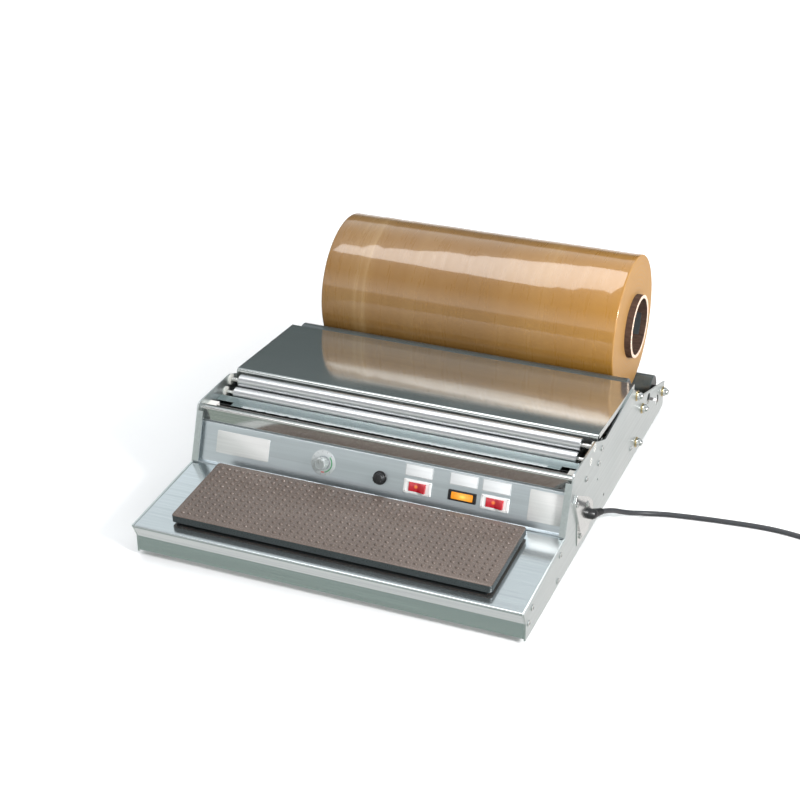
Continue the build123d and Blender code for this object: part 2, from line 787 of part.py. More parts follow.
loom_at = (loom_y, base_top + loom_radius)
loom = rod(loom_at, loom_radius, core_span[1] - core_leg, bx - width / 2)
for spot, depth in (
    (knob_at, cover_sheet + thermostat_depth), (fuse_at, barrel_length), (cutter_switch_at, switch_depth),
    (lamp_at, switch_depth), (plate_switch_at, switch_depth),
):
    x = min(spot[0], bx - width / 2 - 5)
    loom += wire((x, *loom_at), behind(spot, depth))
lead_x, lead_y = heater_lead_at
loom += wire((lead_x, *loom_at), (lead_x, lead_y, deck_z(lead_y) - sloped_sheet))
cord_side = (bx + width / 2, by, base_top + height / 2)
for piece in (front_deck, thermostat, holder, cutter_switch, plate_switch, lamp):
    loom -= piece
lead = wire(cord_side, (inside - branch_radius, *cord_entry)) - terminals
save("wiring_loom", single(loom), single(lead))

# Mains cord on the floor
floor_z = cord_radius - foot_height
coil_radius = coil_across / 2
route = [
    (half_width + 6, *cord_entry), (257.9, 261.3, 23.3), (275.5, 291, 5), (293, 311, floor_z),
    (325, 320, floor_z), (388, 328.5, floor_z), (452, 333.5, floor_z), (505, 323.5, floor_z),
    (coil_middle[0], coil_middle[1] - coil_radius, floor_z),
]


def cord_line():
    """Straight runs joined by arcs; the radius of each arc comes from its shorter run."""
    points = [Vector(*p) for p in route]
    radii = []
    for a, b, c in zip(points, points[1:], points[2:]):
        turn = math.radians((b - a).get_angle(c - b))
        radii.append(0.45 * min((b - a).length, (c - b).length) / math.tan(turn / 2))
    print("cord radii", [round(r, 1) for r in radii])
    return FilletPolyline(*route, radius=radii)


line = cord_line()
start = Plane(origin=line @ 0, z_dir=line % 0)
cord = sweep(start * Circle(cord_radius), path=line)
print("cord volume", round(cord.volume / (math.pi * cord_radius ** 2 * line.length), 4), "length", round(line.length))

coil_wide = 2 * cord_radius * coil_turns_wide
coil_high = 2 * cord_radius * coil_turns_high
ring = Location((coil_radius, 0, coil_high / 2)) * Rotation(90, 0, 0) * Rectangle(coil_wide, coil_high)
coil = Location((*coil_middle, -foot_height)) * revolve(ring, Axis.Z)
save("cord_coil", single(coil))
save("mains_cord", single(cord - coil))

boot = rod(cord_entry, boot_radius, half_width, half_width + 6 + boot_radius / 2)
boot_end = line @ (boot_length / line.length)
boot += taper(route[0], tuple(boot_end), boot_radius - 1, boot_tip_radius)
save("strain_relief", single(boot - cord))

clamp_sheet = 3.0
flap_sheet = 1.0
clamp_edge = [(164, 82), (183, 46), (190, 30), (196, 27), (238, 18), (243, 24), (240, 45), (219, 62), (171, 90)]
clamp_flap = [(183, 46), (186, 12), (232, 8), (240, 20), (215, 40)]
clamp = span(clamp_edge, half_width, half_width + clamp_sheet)
clamp += span(clamp_flap, half_width, half_width + flap_sheet)
clamp -= rod(cord_entry, boot_radius, half_width - 1, half_width + 9)
clamp -= cord
save("cord_clamp", single(clamp - boot))
screw_heads += [side_screw(at, half_width + clamp_sheet) for at in clamp_screws]
screw_heads.append(side_screw(flap_screw, half_width + flap_sheet))
save("side_screws", *screw_heads)

plug_x, plug_y, plug_z = plug_size
end_x = coil_middle[0] + plug_end[0]
plug_at = coil_middle[1] + plug_end[1]
plug_floor = coil_high - foot_height
plug = block(
    (end_x - plug_x, end_x), (plug_at - plug_y / 2, plug_at + plug_y / 2), (plug_floor, plug_floor + plug_z),
)
plug = fillet(plug.edges().filter_by(Axis.X), 4)
for side in (-0.5, 0.5):
    pin_at = (plug_at + side * pin_pitch, plug_floor + plug_z / 2)
    plug += rod(pin_at, pin_radius, end_x - plug_x - pin_length, end_x - plug_x + 1)
save("plug", single(plug))
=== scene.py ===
import math
import random

import bmesh
import bpy
from mathutils import Matrix, Vector, noise


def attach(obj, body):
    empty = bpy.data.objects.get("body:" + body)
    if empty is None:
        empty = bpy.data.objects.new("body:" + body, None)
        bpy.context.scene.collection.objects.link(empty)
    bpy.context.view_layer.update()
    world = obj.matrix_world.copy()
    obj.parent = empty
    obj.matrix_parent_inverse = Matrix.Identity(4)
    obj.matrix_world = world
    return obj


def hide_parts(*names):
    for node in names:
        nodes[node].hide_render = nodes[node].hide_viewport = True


# Looks of a hand wrapper for food trays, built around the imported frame.
# Pieces are shaped in millimetres on the machine and scaled to metres when they are placed.
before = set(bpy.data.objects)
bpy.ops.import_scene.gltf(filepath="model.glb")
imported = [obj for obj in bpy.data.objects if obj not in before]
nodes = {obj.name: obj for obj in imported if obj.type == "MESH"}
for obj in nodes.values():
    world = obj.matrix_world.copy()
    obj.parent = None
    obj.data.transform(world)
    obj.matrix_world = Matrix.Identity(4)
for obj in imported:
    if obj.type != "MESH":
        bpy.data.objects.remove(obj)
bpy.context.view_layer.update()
random.seed(11)
print("frame loaded,", len(nodes), "nodes")

machine = {
    "middle": 315.3426,  # frame origin behind the front bottom edge of the side plates
    "footHeight": 6.0,
    "halfWidth": 242.5,
    "panelLean": 19.5,
    "panelFoot": (147.0, 49.634),
    "deckSlope": 3.094,
    "deckStart": (10.0, 41.03),
}


def at(x, y, z):  # millimetres on the machine to metres in the frame
    return Vector((x, y - machine["middle"], z + machine["footHeight"])) / 1000


machinePlace = Matrix.Translation(at(0, 0, 0)) @ Matrix.Scale(0.001, 4)
panelPlace = (
    Matrix.Translation(at(0, *machine["panelFoot"]))
    @ Matrix.Rotation(math.radians(90 - machine["panelLean"]), 4, "X")
    @ Matrix.Scale(0.001, 4)
)
deckPlace = (
    Matrix.Translation(at(0, *machine["deckStart"]))
    @ Matrix.Rotation(math.radians(machine["deckSlope"]), 4, "X")
    @ Matrix.Scale(0.001, 4)
)


def onAxis(spot):  # a piece turned about X, its middle at (y, z)
    return machinePlace @ Matrix.Translation((0, *spot))


def onPanel(spot):  # a piece that stands on the leaning panel at (x, up)
    return panelPlace @ Matrix.Translation((*spot, 0))


# Camera
camera = {
    "place": (0.7043, -1.7802, 1.1130),
    "turn": (63.46, 0.69, 23.00),
    "lens": 76.86,
    "sensor": 36,
    "shift": (0.0275, -0.0488),
}


def makeCamera():
    data = bpy.data.cameras.new("camera")
    data.lens = camera["lens"]
    data.sensor_width = camera["sensor"]
    data.shift_x, data.shift_y = camera["shift"]
    eye = bpy.data.objects.new("camera", data)
    eye.location = camera["place"]
    eye.rotation_euler = [math.radians(a) for a in camera["turn"]]
    bpy.context.scene.collection.objects.link(eye)
    bpy.context.scene.camera = eye


makeCamera()


# Shaping helpers
def turned(outline, axis="X", steps=64, closed=False, bm=None):
    # outline is (along the axis, radius), spun all the way round
    bm = bm or bmesh.new()
    spots = [(a, 0, r) if axis == "X" else (r, 0, a) for a, r in outline]
    points = [bm.verts.new(s) for s in spots]
    pairs = list(zip(points, points[1:])) + ([(points[-1], points[0])] if closed else [])
    edges = [bm.edges.new(pair) for pair in pairs]
    turn = (1, 0, 0) if axis == "X" else (0, 0, 1)
    bmesh.ops.spin(
        bm, geom=points + edges, cent=(0, 0, 0), axis=turn, angle=2 * math.pi, steps=steps, use_merge=True
    )
    tidy(bm)
    return bm


def tidy(bm):
    bmesh.ops.remove_doubles(bm, verts=bm.verts, dist=1e-4)
    bmesh.ops.recalc_face_normals(bm, faces=bm.faces)


def roundEdges(bm, edges, width, segments=3):
    bmesh.ops.bevel(
        bm, geom=edges, offset=width, offset_type="OFFSET", segments=segments, profile=0.5,
        affect="EDGES", clamp_overlap=True, material=-1,
    )


def uprightEdges(bm):
    return [e for e in bm.edges if abs(e.verts[0].co.z - e.verts[1].co.z) > 0.9 * e.calc_length()]


def topFace(bm):
    return max(bm.faces, key=lambda f: (round(f.calc_center_median().z, 3), f.calc_area()))


def block(bm, middle, size, turn=Matrix.Identity(4)):
    place = turn @ Matrix.Translation(middle) @ Matrix.Diagonal((*size, 1))
    bmesh.ops.create_cube(bm, size=1, matrix=place)


def rod(bm, radius, low, high, segments):
    # round bar, or a hexagon, along Z
    bmesh.ops.create_cone(
        bm, cap_ends=True, segments=segments, radius1=radius, radius2=radius, depth=high - low,
        matrix=Matrix.Translation((0, 0, (low + high) / 2)),
    )


def wholeOf(bm):
    return bm.verts[:] + bm.edges[:] + bm.faces[:]


def pointsOf(geometry):
    return [g for g in geometry if isinstance(g, bmesh.types.BMVert)]


def band(section, axis, start, sweep, steps):
    # a section in X and Z, swept part of the way round an axis
    bm = bmesh.new()
    face = bm.faces.new([bm.verts.new((x, 0, z)) for x, z in section])
    bmesh.ops.rotate(bm, verts=bm.verts, matrix=Matrix.Rotation(math.radians(start), 3, axis))
    way = (1, 0, 0) if axis == "X" else (0, 0, 1)
    bmesh.ops.spin(bm, geom=[face, *face.edges, *face.verts], cent=(0, 0, 0), axis=way,
                   angle=math.radians(sweep), steps=steps)
    tidy(bm)
    return bm


def slab(size, low, high, corner=0.0, edge=0.0):
    # flat plate with rounded corners and a softened top edge
    bm = bmesh.new()
    block(bm, (0, 0, (low + high) / 2), (*size, high - low))
    if corner:
        roundEdges(bm, uprightEdges(bm), corner)
    if edge:
        roundEdges(bm, list(topFace(bm).edges), edge, 2)
    return bm


def sink(bm, face, border, depth):
    # insets a face and pushes it down
    bmesh.ops.inset_region(bm, faces=[face], thickness=border, use_even_offset=True)
    moved = bmesh.ops.extrude_discrete_faces(bm, faces=[face])["faces"][0]
    bmesh.ops.translate(bm, vec=moved.normal * -depth, verts=moved.verts)


def stamp(target, source, places):
    # copies one small shape to many places in another mesh
    mesh = bpy.data.meshes.new("stamp")
    source.to_mesh(mesh)
    for place in places:
        copy = mesh.copy()
        copy.transform(place)
        target.from_mesh(copy)
        bpy.data.meshes.remove(copy)
    bpy.data.meshes.remove(mesh)
    source.free()


def makePiece(name, bm, place, body, materials, stands=(), crease=35):
    bm.transform(place)
    mesh = bpy.data.meshes.new(name)
    bm.to_mesh(mesh)
    bm.free()
    for material in materials if isinstance(materials, list) else [materials]:
        mesh.materials.append(material)
    mesh.shade_smooth()
    mesh.set_sharp_from_angle(angle=math.radians(crease))
    piece = bpy.data.objects.new(name, mesh)
    bpy.context.scene.collection.objects.link(piece)
    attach(piece, body)
    if stands:
        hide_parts(*([stands] if isinstance(stands, str) else stands))
    return piece


def folded(node, name, slot, material, edge=0.35):
    # sheet metal from the frame with its cut edges rounded off, so that they catch the light
    bm = bmesh.new()
    bm.from_mesh(nodes[node].data)
    bmesh.ops.remove_doubles(bm, verts=bm.verts, dist=1e-6)
    bmesh.ops.dissolve_limit(bm, angle_limit=math.radians(1), verts=bm.verts, edges=bm.edges)
    piece = makePiece(name, bm, Matrix.Identity(4), "frame", material, node)
    softer = piece.modifiers.new("edge", "BEVEL")
    softer.width = edge / 1000
    softer.segments = 2
    softer.limit_method = "ANGLE"
    softer.angle_limit = math.radians(40)
    softer.harden_normals = True
    return piece


def painted(node, material):
    data = nodes[node].data
    data.materials.clear()
    data.materials.append(material)


# Material helpers
def finish(name, colour, metal=0.0, rough=0.5, **sockets):
    material = bpy.data.materials.new(name)
    material.use_nodes = True
    tree = material.node_tree
    surface = tree.nodes["Principled BSDF"]
    surface.inputs["Base Color"].default_value = (*colour, 1)
    surface.inputs["Metallic"].default_value = metal
    surface.inputs["Roughness"].default_value = rough
    for socket, value in sockets.items():
        surface.inputs[socket.replace("_", " ")].default_value = value
    return material, tree, surface


def pattern(tree, stretch=(1, 1, 1), centre=(0, 0, 0)):
    where = tree.nodes.new("ShaderNodeTexCoord")
    mapping = tree.nodes.new("ShaderNodeMapping")
    mapping.inputs["Scale"].default_value = stretch
    mapping.inputs["Location"].default_value = [-c * s for c, s in zip(centre, stretch)]
    tree.links.new(where.outputs["Object"], mapping.inputs["Vector"])
    return mapping.outputs["Vector"]


def speckle(tree, size, stretch=(1, 1, 1), detail=4.0, rough=0.55):
    node = tree.nodes.new("ShaderNodeTexNoise")
    node.inputs["Scale"].default_value = size
    node.inputs["Detail"].default_value = detail
    node.inputs["Roughness"].default_value = rough
    tree.links.new(pattern(tree, stretch), node.inputs["Vector"])
    return node.outputs["Fac"]


def colours(tree, source, stops, target):
    node = tree.nodes.new("ShaderNodeValToRGB")
    ramp = node.color_ramp
    while len(ramp.elements) < len(stops):
        ramp.elements.new(0.5)
    for element, (place, colour) in zip(ramp.elements, stops):
        element.position = place
        element.color = (*colour, 1)
    tree.links.new(source, node.inputs["Fac"])
    tree.links.new(node.outputs["Color"], target)


def mottle(tree, surface, source, colour, dark, light):
    # base colour that wanders between a darker and a lighter shade
    stops = [(0.3, [c * dark for c in colour]), (0.7, [min(1, c * light) for c in colour])]
    colours(tree, source, stops, surface.inputs["Base Color"])


def spread(tree, source, low, high, target, fromLow=0.3, fromHigh=0.7):
    node = tree.nodes.new("ShaderNodeMapRange")
    node.inputs["From Min"].default_value = fromLow
    node.inputs["From Max"].default_value = fromHigh
    node.inputs["To Min"].default_value = low
    node.inputs["To Max"].default_value = high
    tree.links.new(source, node.inputs["Value"])
    tree.links.new(node.outputs["Result"], target)


def bumps(tree, surface, source, strength, height, socket="Normal"):
    node = tree.nodes.new("ShaderNodeBump")
    node.inputs["Strength"].default_value = strength
    node.inputs["Distance"].default_value = height
    tree.links.new(source, node.inputs["Height"])
    tree.links.new(node.outputs["Normal"], surface.inputs[socket])


def brushedSteel(name, colour, rough, metal=1.0, stretch=(4, 260, 260), grain=0.12, smudge=0.06):
    # fine grain in one direction, and faint smudges from hands and cloths; under 1, metal leaves a haze
    material, tree, surface = finish(name, colour, metal=metal, rough=rough)
    lines = speckle(tree, 1.0, stretch, detail=3.0)
    cloudy = speckle(tree, 9.0, detail=2.0)
    mottle(tree, surface, lines, colour, 0.93, 1.05)
    spread(tree, cloudy, rough - smudge, rough + smudge, surface.inputs["Roughness"])
    bumps(tree, surface, lines, grain, 0.0002)
    return material


# Finishes
sideSteel = brushedSteel("sideSteel", (0.60, 0.64, 0.64), 0.32, 0.95, stretch=(260, 5, 260), grain=0.10)
deckSteel = brushedSteel("deckSteel", (0.60, 0.64, 0.65), 0.15, 0.96, grain=0.05, smudge=0.03)
panelSteel = brushedSteel("panelSteel", (0.60, 0.65, 0.68), 0.33, 0.95, grain=0.10)
railSteel = brushedSteel("railSteel", (0.62, 0.62, 0.60), 0.10, 0.97, grain=0.04, smudge=0.02)
coverSteel = brushedSteel("coverSteel", (0.58, 0.61, 0.60), 0.10, 0.91, grain=0.03, smudge=0.02)
stripSteel = brushedSteel("stripSteel", (0.34, 0.40, 0.40), 0.22, 0.92, grain=0.06)
baseSteel = brushedSteel("baseSteel", (0.45, 0.47, 0.47), 0.42)
shaftSteel = brushedSteel("shaftSteel", (0.66, 0.66, 0.64), 0.22, stretch=(300, 4, 4))
rollerAluminium = brushedSteel("rollerAluminium", (0.66, 0.67, 0.68), 0.30, grain=0.02, smudge=0.02)
chrome = brushedSteel("chrome", (0.72, 0.73, 0.72), 0.14, grain=0.03)
brassTint = brushedSteel("brassTint", (0.66, 0.52, 0.28), 0.24, grain=0.05)


def moulded(name, colour, rough=0.45, grain=0.15, **sockets):
    # moulded plastic or rubber with a fine skin
    material, tree, surface = finish(name, colour, rough=rough, **sockets)
    skin = speckle(tree, 900.0, detail=2.0)
    cloudy = speckle(tree, 40.0, detail=3.0)
    mottle(tree, surface, cloudy, colour, 0.88, 1.08)
    spread(tree, skin, rough - 0.06, rough + 0.08, surface.inputs["Roughness"])
    bumps(tree, surface, skin, grain, 0.0001)
    return material


blackPlastic = moulded("blackPlastic", (0.012, 0.012, 0.013), 0.34)
whitePlastic = moulded("whitePlastic", (0.78, 0.78, 0.77), 0.36, 0.08)
ceramicWhite = moulded("ceramicWhite", (0.74, 0.72, 0.68), 0.55)
footRubber = moulded("footRubber", (0.02, 0.02, 0.021), 0.75, 0.4)
cordRubber = moulded("cordRubber", (0.035, 0.036, 0.04), 0.42, 0.1)
bushPlastic = moulded("bushPlastic", (0.55, 0.55, 0.52), 0.5)
# cradle rollers: dark grey of their own, made darker still as painted shade where the film roll sits over
# them
rollerGrey = moulded("rollerGrey", (0.055, 0.070, 0.072), 0.30, 0.12, Coat_Weight=0.3)
blackPaint = moulded("blackPaint", (0.008, 0.009, 0.009), 0.42, 0.3)
greyMark = moulded("greyMark", (0.30, 0.31, 0.32), 0.6)
greenMark = moulded("greenMark", (0.05, 0.30, 0.12), 0.5)
redMark = moulded("redMark", (0.55, 0.03, 0.02), 0.5)
coilTape = moulded("coilTape", (0.45, 0.33, 0.08), 0.5)
wireJacket = moulded("wireJacket", (0.10, 0.10, 0.11), 0.5)


def foil(name, colour, rough=0.35, metal=0.5):
    # printed metal foil, finely brushed
    material, tree, surface = finish(name, colour, metal=metal, rough=rough)
    lines = speckle(tree, 1.0, (6, 400, 400), detail=3.0)
    mottle(tree, surface, lines, colour, 0.94, 1.04)
    bumps(tree, surface, lines, 0.06, 0.0001)
    return material


dialFoil = foil("dialFoil", (0.62, 0.65, 0.66))
labelFoil = foil("labelFoil", (0.80, 0.82, 0.83), 0.4, 0.2)
plateFoil = foil("plateFoil", (0.74, 0.74, 0.73), 0.3, 0.4)
print("finishes ready")


# Mains cord, strain relief and plug
cord = {
    "diameter": 0.0064,
    "route": [
        (248.5, 226, 34.3), (257.9, 261.3, 23.3), (275.5, 291, 5), (293, 311, -2.8), (325, 320, -2.8),
        (388, 328.5, -2.8), (452, 333.5, -2.8), (505, 322.5, -2.8),
    ],
    "coilMiddle": (556.0, 352.0),
    "turnPoints": 14,
    "swell": 1.0253,  # the spline runs inside its points by this much
    # radius and height of each turn, from the first one on the floor to the one that the end leaves
    "turns": [(38.2, -2.8), (31.8, -2.8), (31.8, 3.6), (38.2, 3.6), (38.2, 10.0), (31.9, 10.0), (32.0, 17.0)],
    "climb": 3,  # points in which a turn rises, followed by as many in which it moves across
    "tail": {"middleX": 559.0, "radius": 27.5, "from": -70, "points": 7},
    "plugEnd": (558.5, 374.7),
    "plugHeight": 23.2,
    "insidePlug": 9.0,
    "length": 1.83,
}


def coilPoints():
    # each turn climbs first and only then moves across, so that it clears the one beside it
    cx, cy = cord["coilMiddle"]
    count, turns, swell, climb = cord["turnPoints"], cord["turns"], cord["swell"], cord["climb"]
    points = []
    for (radius, height), (nextRadius, nextHeight) in zip(turns, turns[1:]):
        for k in range(count):
            across = max(0.0, (k - (count - climb)) / climb)
            up = min(1.0, max(0.0, (k - (count - 2 * climb)) / climb))
            r = (radius + (nextRadius - radius) * across) * swell
            a = 2 * math.pi * (k / count - 0.25)
            points.append((cx + r * math.cos(a), cy + r * math.sin(a), height + (nextHeight - height) * up))
    return points


def tailPoints():
    # from the top turn round to the back of the plug, rising to its height
    facts = cord["tail"]
    x, y = cord["plugEnd"]
    (cx, cy), (radius, low) = cord["coilMiddle"], cord["turns"][-1]
    high, count = cord["plugHeight"], facts["points"]
    points = [(cx, cy - radius * cord["swell"], low)]
    for k in range(count):
        a = math.radians(facts["from"] + (90 - facts["from"]) * k / (count - 1))
        spot = (facts["middleX"] + facts["radius"] * math.cos(a), y - facts["radius"] * (1 - math.sin(a)))
        points.append((*spot, low + (high - low) * (k + 1) / count))
    return points + [(x - cord["insidePlug"], y, high)]


def makeCord():
    spots = cord["route"] + coilPoints() + tailPoints()
    data = bpy.data.curves.new("mainsFlex", "CURVE")
    data.dimensions = "3D"
    data.bevel_depth = cord["diameter"] / 2
    data.bevel_resolution = 4
    data.resolution_u = 8
    data.use_fill_caps = True
    line = data.splines.new("NURBS")
    line.points.add(len(spots) - 1)
    for point, spot in zip(line.points, spots):
        point.co = (*at(*spot), 1)
    line.order_u = 3
    line.use_endpoint_u = True
    data.materials.append(cordRubber)
    flex = bpy.data.objects.new("mainsFlex", data)
    bpy.context.scene.collection.objects.link(flex)
    print("cord measures", round(line.calc_length(), 3), "m")
    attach(flex, "frame")
    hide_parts("mains_cord", "cord_coil")
    return flex


plug = {
    "size": (42.0, 26.0, 20.0), "corner": 6.0, "edge": 1.6, "neck": 16.0, "taper": 0.62,
    "ribs": 3, "rib": (1.6, 15.0, 1.2), "firstRib": -4.0, "ribStep": 4.5, "ribSunk": 0.2,
    "pinRadius": 2.4, "pinLength": 19.0, "pinPitch": 19.0, "sleeve": 9.0, "sleeveWall": 0.25,
}


def makePlug():
    long, wide, high = plug["size"]
    x, y = cord["plugEnd"]
    z = cord["plugHeight"]
    bm = bmesh.new()
    block(bm, (0, 0, 0), plug["size"])
    roundEdges(bm, [e for e in bm.edges if abs(e.verts[0].co.x - e.verts[1].co.x) > 1], plug["corner"], 5)
    bmesh.ops.bisect_plane(bm, geom=wholeOf(bm), plane_co=(long / 2 - plug["neck"], 0, 0), plane_no=(1, 0, 0))
    for v in bm.verts:  # narrower where the flex goes in
        if v.co.x > long / 2 - 1:
            v.co.y *= plug["taper"]
            v.co.z *= plug["taper"]
    ends = [e for e in bm.edges if all(abs(v.co.x) > long / 2 - 0.1 for v in e.verts)]
    roundEdges(bm, ends, plug["edge"], 3)
    for n in range(plug["ribs"]):  # grip ribs on both wide sides
        for side in (-1, 1):
            spot = (plug["firstRib"] + plug["ribStep"] * n, 0, side * (high / 2 - plug["ribSunk"]))
            block(bm, spot, plug["rib"])
    middle = machinePlace @ Matrix.Translation((x - long / 2, y, z))
    makePiece("plugBody", bm, middle, "frame", blackPlastic, "plug")
    r, sleeve, reach = plug["pinRadius"], plug["sleeve"], plug["pinLength"]
    outer = r + plug["sleeveWall"]
    pins, sleeves = bmesh.new(), bmesh.new()
    sides = [Matrix.Translation((0, s * plug["pinPitch"] / 2, 0)) for s in (-1, 1)]
    pinLine = [(-reach, 0), (-reach, r * 0.5), (1 - reach, r * 0.95), (-1, r), (1, r), (1, 0)]
    sleeveLine = [(-sleeve, r), (-sleeve, outer), (0.5, outer), (0.5, r)]
    stamp(pins, turned(pinLine, steps=20), sides)
    stamp(sleeves, turned(sleeveLine, steps=20, closed=True), sides)
    face = machinePlace @ Matrix.Translation((x - long, y, z))
    parts = [
        makePiece("plugPins", pins, face, "frame", brassTint),
        makePiece("plugSleeves", sleeves, face, "frame", blackPlastic),
    ]
    return ["plugBody"] + [p.name for p in parts]


boot = {
    "at": (242.5, 226.0, 34.3), "bore": 3.3, "flange": 6.5, "flangeEnd": 7.5,
    "base": 6.4, "tip": 4.2, "long": 28.0, "ribs": 6, "firstRib": 9.5, "ribStep": 3.1, "groove": 0.9,
    "straight": 6.0, "bend": 5.0, "way": (0.24, 0.92, -0.30),  # straight at first, then down along the cord
}


def makeBoot():
    # ribbed, tapered sleeve where the cord comes out of the side plate
    bore, flange, base, tip = (boot[key] for key in ("bore", "flange", "base", "tip"))
    outline = [(-0.2, bore), (-0.2, flange), (boot["flangeEnd"], flange), (boot["flangeEnd"] + 1, base - 0.6)]
    for n in range(boot["ribs"]):
        start = boot["firstRib"] + n * boot["ribStep"]
        r = base - 0.4 - (base - tip) * n / boot["ribs"]
        low = r - boot["groove"]
        outline += [(start, r), (start + 1.7, r), (start + 1.9, low), (start + 2.9, low)]
    outline += [(boot["long"], tip), (boot["long"], bore)]
    bm = turned(outline, steps=32, closed=True)
    bent = Vector((1, 0, 0)).rotation_difference(Vector(boot["way"]).normalized())
    for v in bm.verts:
        along = v.co.x - boot["straight"]
        if along > 0:
            turn = Matrix.Identity(3).to_quaternion().slerp(bent, min(1.0, along / boot["bend"]))
            v.co = Vector((boot["straight"], 0, 0)) + turn @ Vector((along, v.co.y, v.co.z))
    place = machinePlace @ Matrix.Translation(boot["at"])
    makePiece("cordBoot", bm, place, "frame", blackPlastic, "strain_relief", crease=50)


flex = makeCord()
plugParts = makePlug()
makeBoot()
print("cord and plug done")


# Sheet metal
def makeSheetMetal():
    for facts in (
        ("left_side_plate", "leftSidePlate", "plate_steel", sideSteel, 0.5),
        ("right_side_plate", "rightSidePlate", "plate_steel", sideSteel, 0.5),
        ("front_deck", "frontDeck", "deck_steel", deckSteel),
        ("control_panel", "controlPanel", "panel_steel", panelSteel),
        ("fascia_rail", "fasciaRail", "cover_steel", railSteel),
        ("cutter_channel", "cutterChannel", "black_steel", blackPaint),
        ("film_rest_strip", "filmRestStrip", "cover_steel", stripSteel),
        ("top_cover", "topCover", "cover_steel", coverSteel),
        ("cover_brackets", "coverBrackets", "plate_steel", chrome),
        ("base_plate", "basePlate", "base_steel", baseSteel),
        ("rear_crossbar", "rearCrossbar", "base_steel", baseSteel),
        ("cord_clamp", "cordClamp", "plate_steel", chrome, 0.6),
        ("cutter_blocks", "cutterBlocks", "ceramic_white", ceramicWhite),
    ):
        folded(*facts)


makeSheetMetal()
print("sheet metal done")


# Hot plate
hotPlate = {
    "size": (398.0, 121.0), "low": 4.0, "high": 13.5, "wall": 3.0, "corner": 4.0, "edge": 1.5,
    "columns": 42, "rows": 12, "first": (-188.8, 10.0), "pitch": (9.21, 9.2),
    "bumpRadius": 2.5, "bumpHeight": 1.7, "bumpSides": 10, "bumpRings": 6, "bumpFoot": 0.05,
}


def plateCoating():
    # brown non-stick coating: cloudy, with a fine grain and faint rub marks
    base = (0.135, 0.104, 0.088)
    material, tree, surface = finish("plateCoating", base, metal=0.2, rough=0.32)
    cloudy = speckle(tree, 14.0, (1, 2, 1), detail=5.0)
    fine = speckle(tree, 700.0, detail=2.0)
    colours(tree, cloudy, [(0.25, (0.118, 0.090, 0.076)), (0.5, base), (0.8, (0.156, 0.122, 0.104))],
            surface.inputs["Base Color"])
    spread(tree, fine, 0.22, 0.30, surface.inputs["Roughness"])
    bumps(tree, surface, fine, 0.12, 0.0001)
    return material


def makeHotPlate():
    size, low, high = hotPlate["size"], hotPlate["low"], hotPlate["high"]
    bm = bmesh.new()
    block(bm, (0, size[1] / 2, (low + high) / 2), (*size, high - low))
    roundEdges(bm, uprightEdges(bm), hotPlate["corner"], 5)
    roundEdges(bm, list(topFace(bm).edges), hotPlate["edge"], 3)
    under = min(bm.faces, key=lambda f: f.calc_center_median().z)
    sink(bm, under, hotPlate["wall"], high - low - hotPlate["wall"])  # hollow from below
    dome = bmesh.new()
    sides, rings, foot = hotPlate["bumpSides"], hotPlate["bumpRings"], hotPlate["bumpFoot"]
    bmesh.ops.create_uvsphere(dome, u_segments=sides, v_segments=rings, radius=1)
    bmesh.ops.bisect_plane(
        dome, geom=wholeOf(dome), plane_co=(0, 0, -foot), plane_no=(0, 0, 1), clear_inner=True
    )
    r, tall = hotPlate["bumpRadius"], hotPlate["bumpHeight"]
    (x, y), (px, py) = hotPlate["first"], hotPlate["pitch"]
    places = [
        Matrix.Translation((x + px * i, y + py * j, high)) @ Matrix.Diagonal((r, r, tall, 1))
        for i in range(hotPlate["columns"]) for j in range(hotPlate["rows"])
    ]
    stamp(bm, dome, places)
    for face in bm.faces:  # the sides are coated like the top; their darker teal-grey is painted shade
        shadedSide = abs(face.normal.z) < 0.3 and face.calc_center_median().z < high - 1
        face.material_index = 1 if shadedSide else 0
    # second finish: painted shade for the side faces of the plate
    looks = [plateCoating(), moulded("plateSidePaintedShade", (0.030, 0.038, 0.040), 0.3)]
    makePiece("hotPlateCover", bm, deckPlace, "frame", looks, "hot_plate", crease=40)
    painted("heater_mat", moulded("heaterMat", (0.30, 0.10, 0.05), 0.6))
    painted("hot_plate_tray", blackPaint)
    painted("plate_standoffs", blackPlastic)


makeHotPlate()
print("hot plate done")


# Film roll on its core
roll = {
    "middle": (544.685, 134.095), "radius": 95.0, "half": 205.5, "edge": 1.6,
    "core": 42.5, "bore": 38.0, "coreHalf": 215.0, "coreEdge": 0.6,
    "ridges": 16, "ridgeStep": 0.12, "swell": 0.35, "swellReach": 190, "swellEvery": 10,
    "sticker": {"along": (198.0, 206.5), "from": -132.0, "sweep": 46.0, "gap": 0.35, "sheet": 0.3},
}


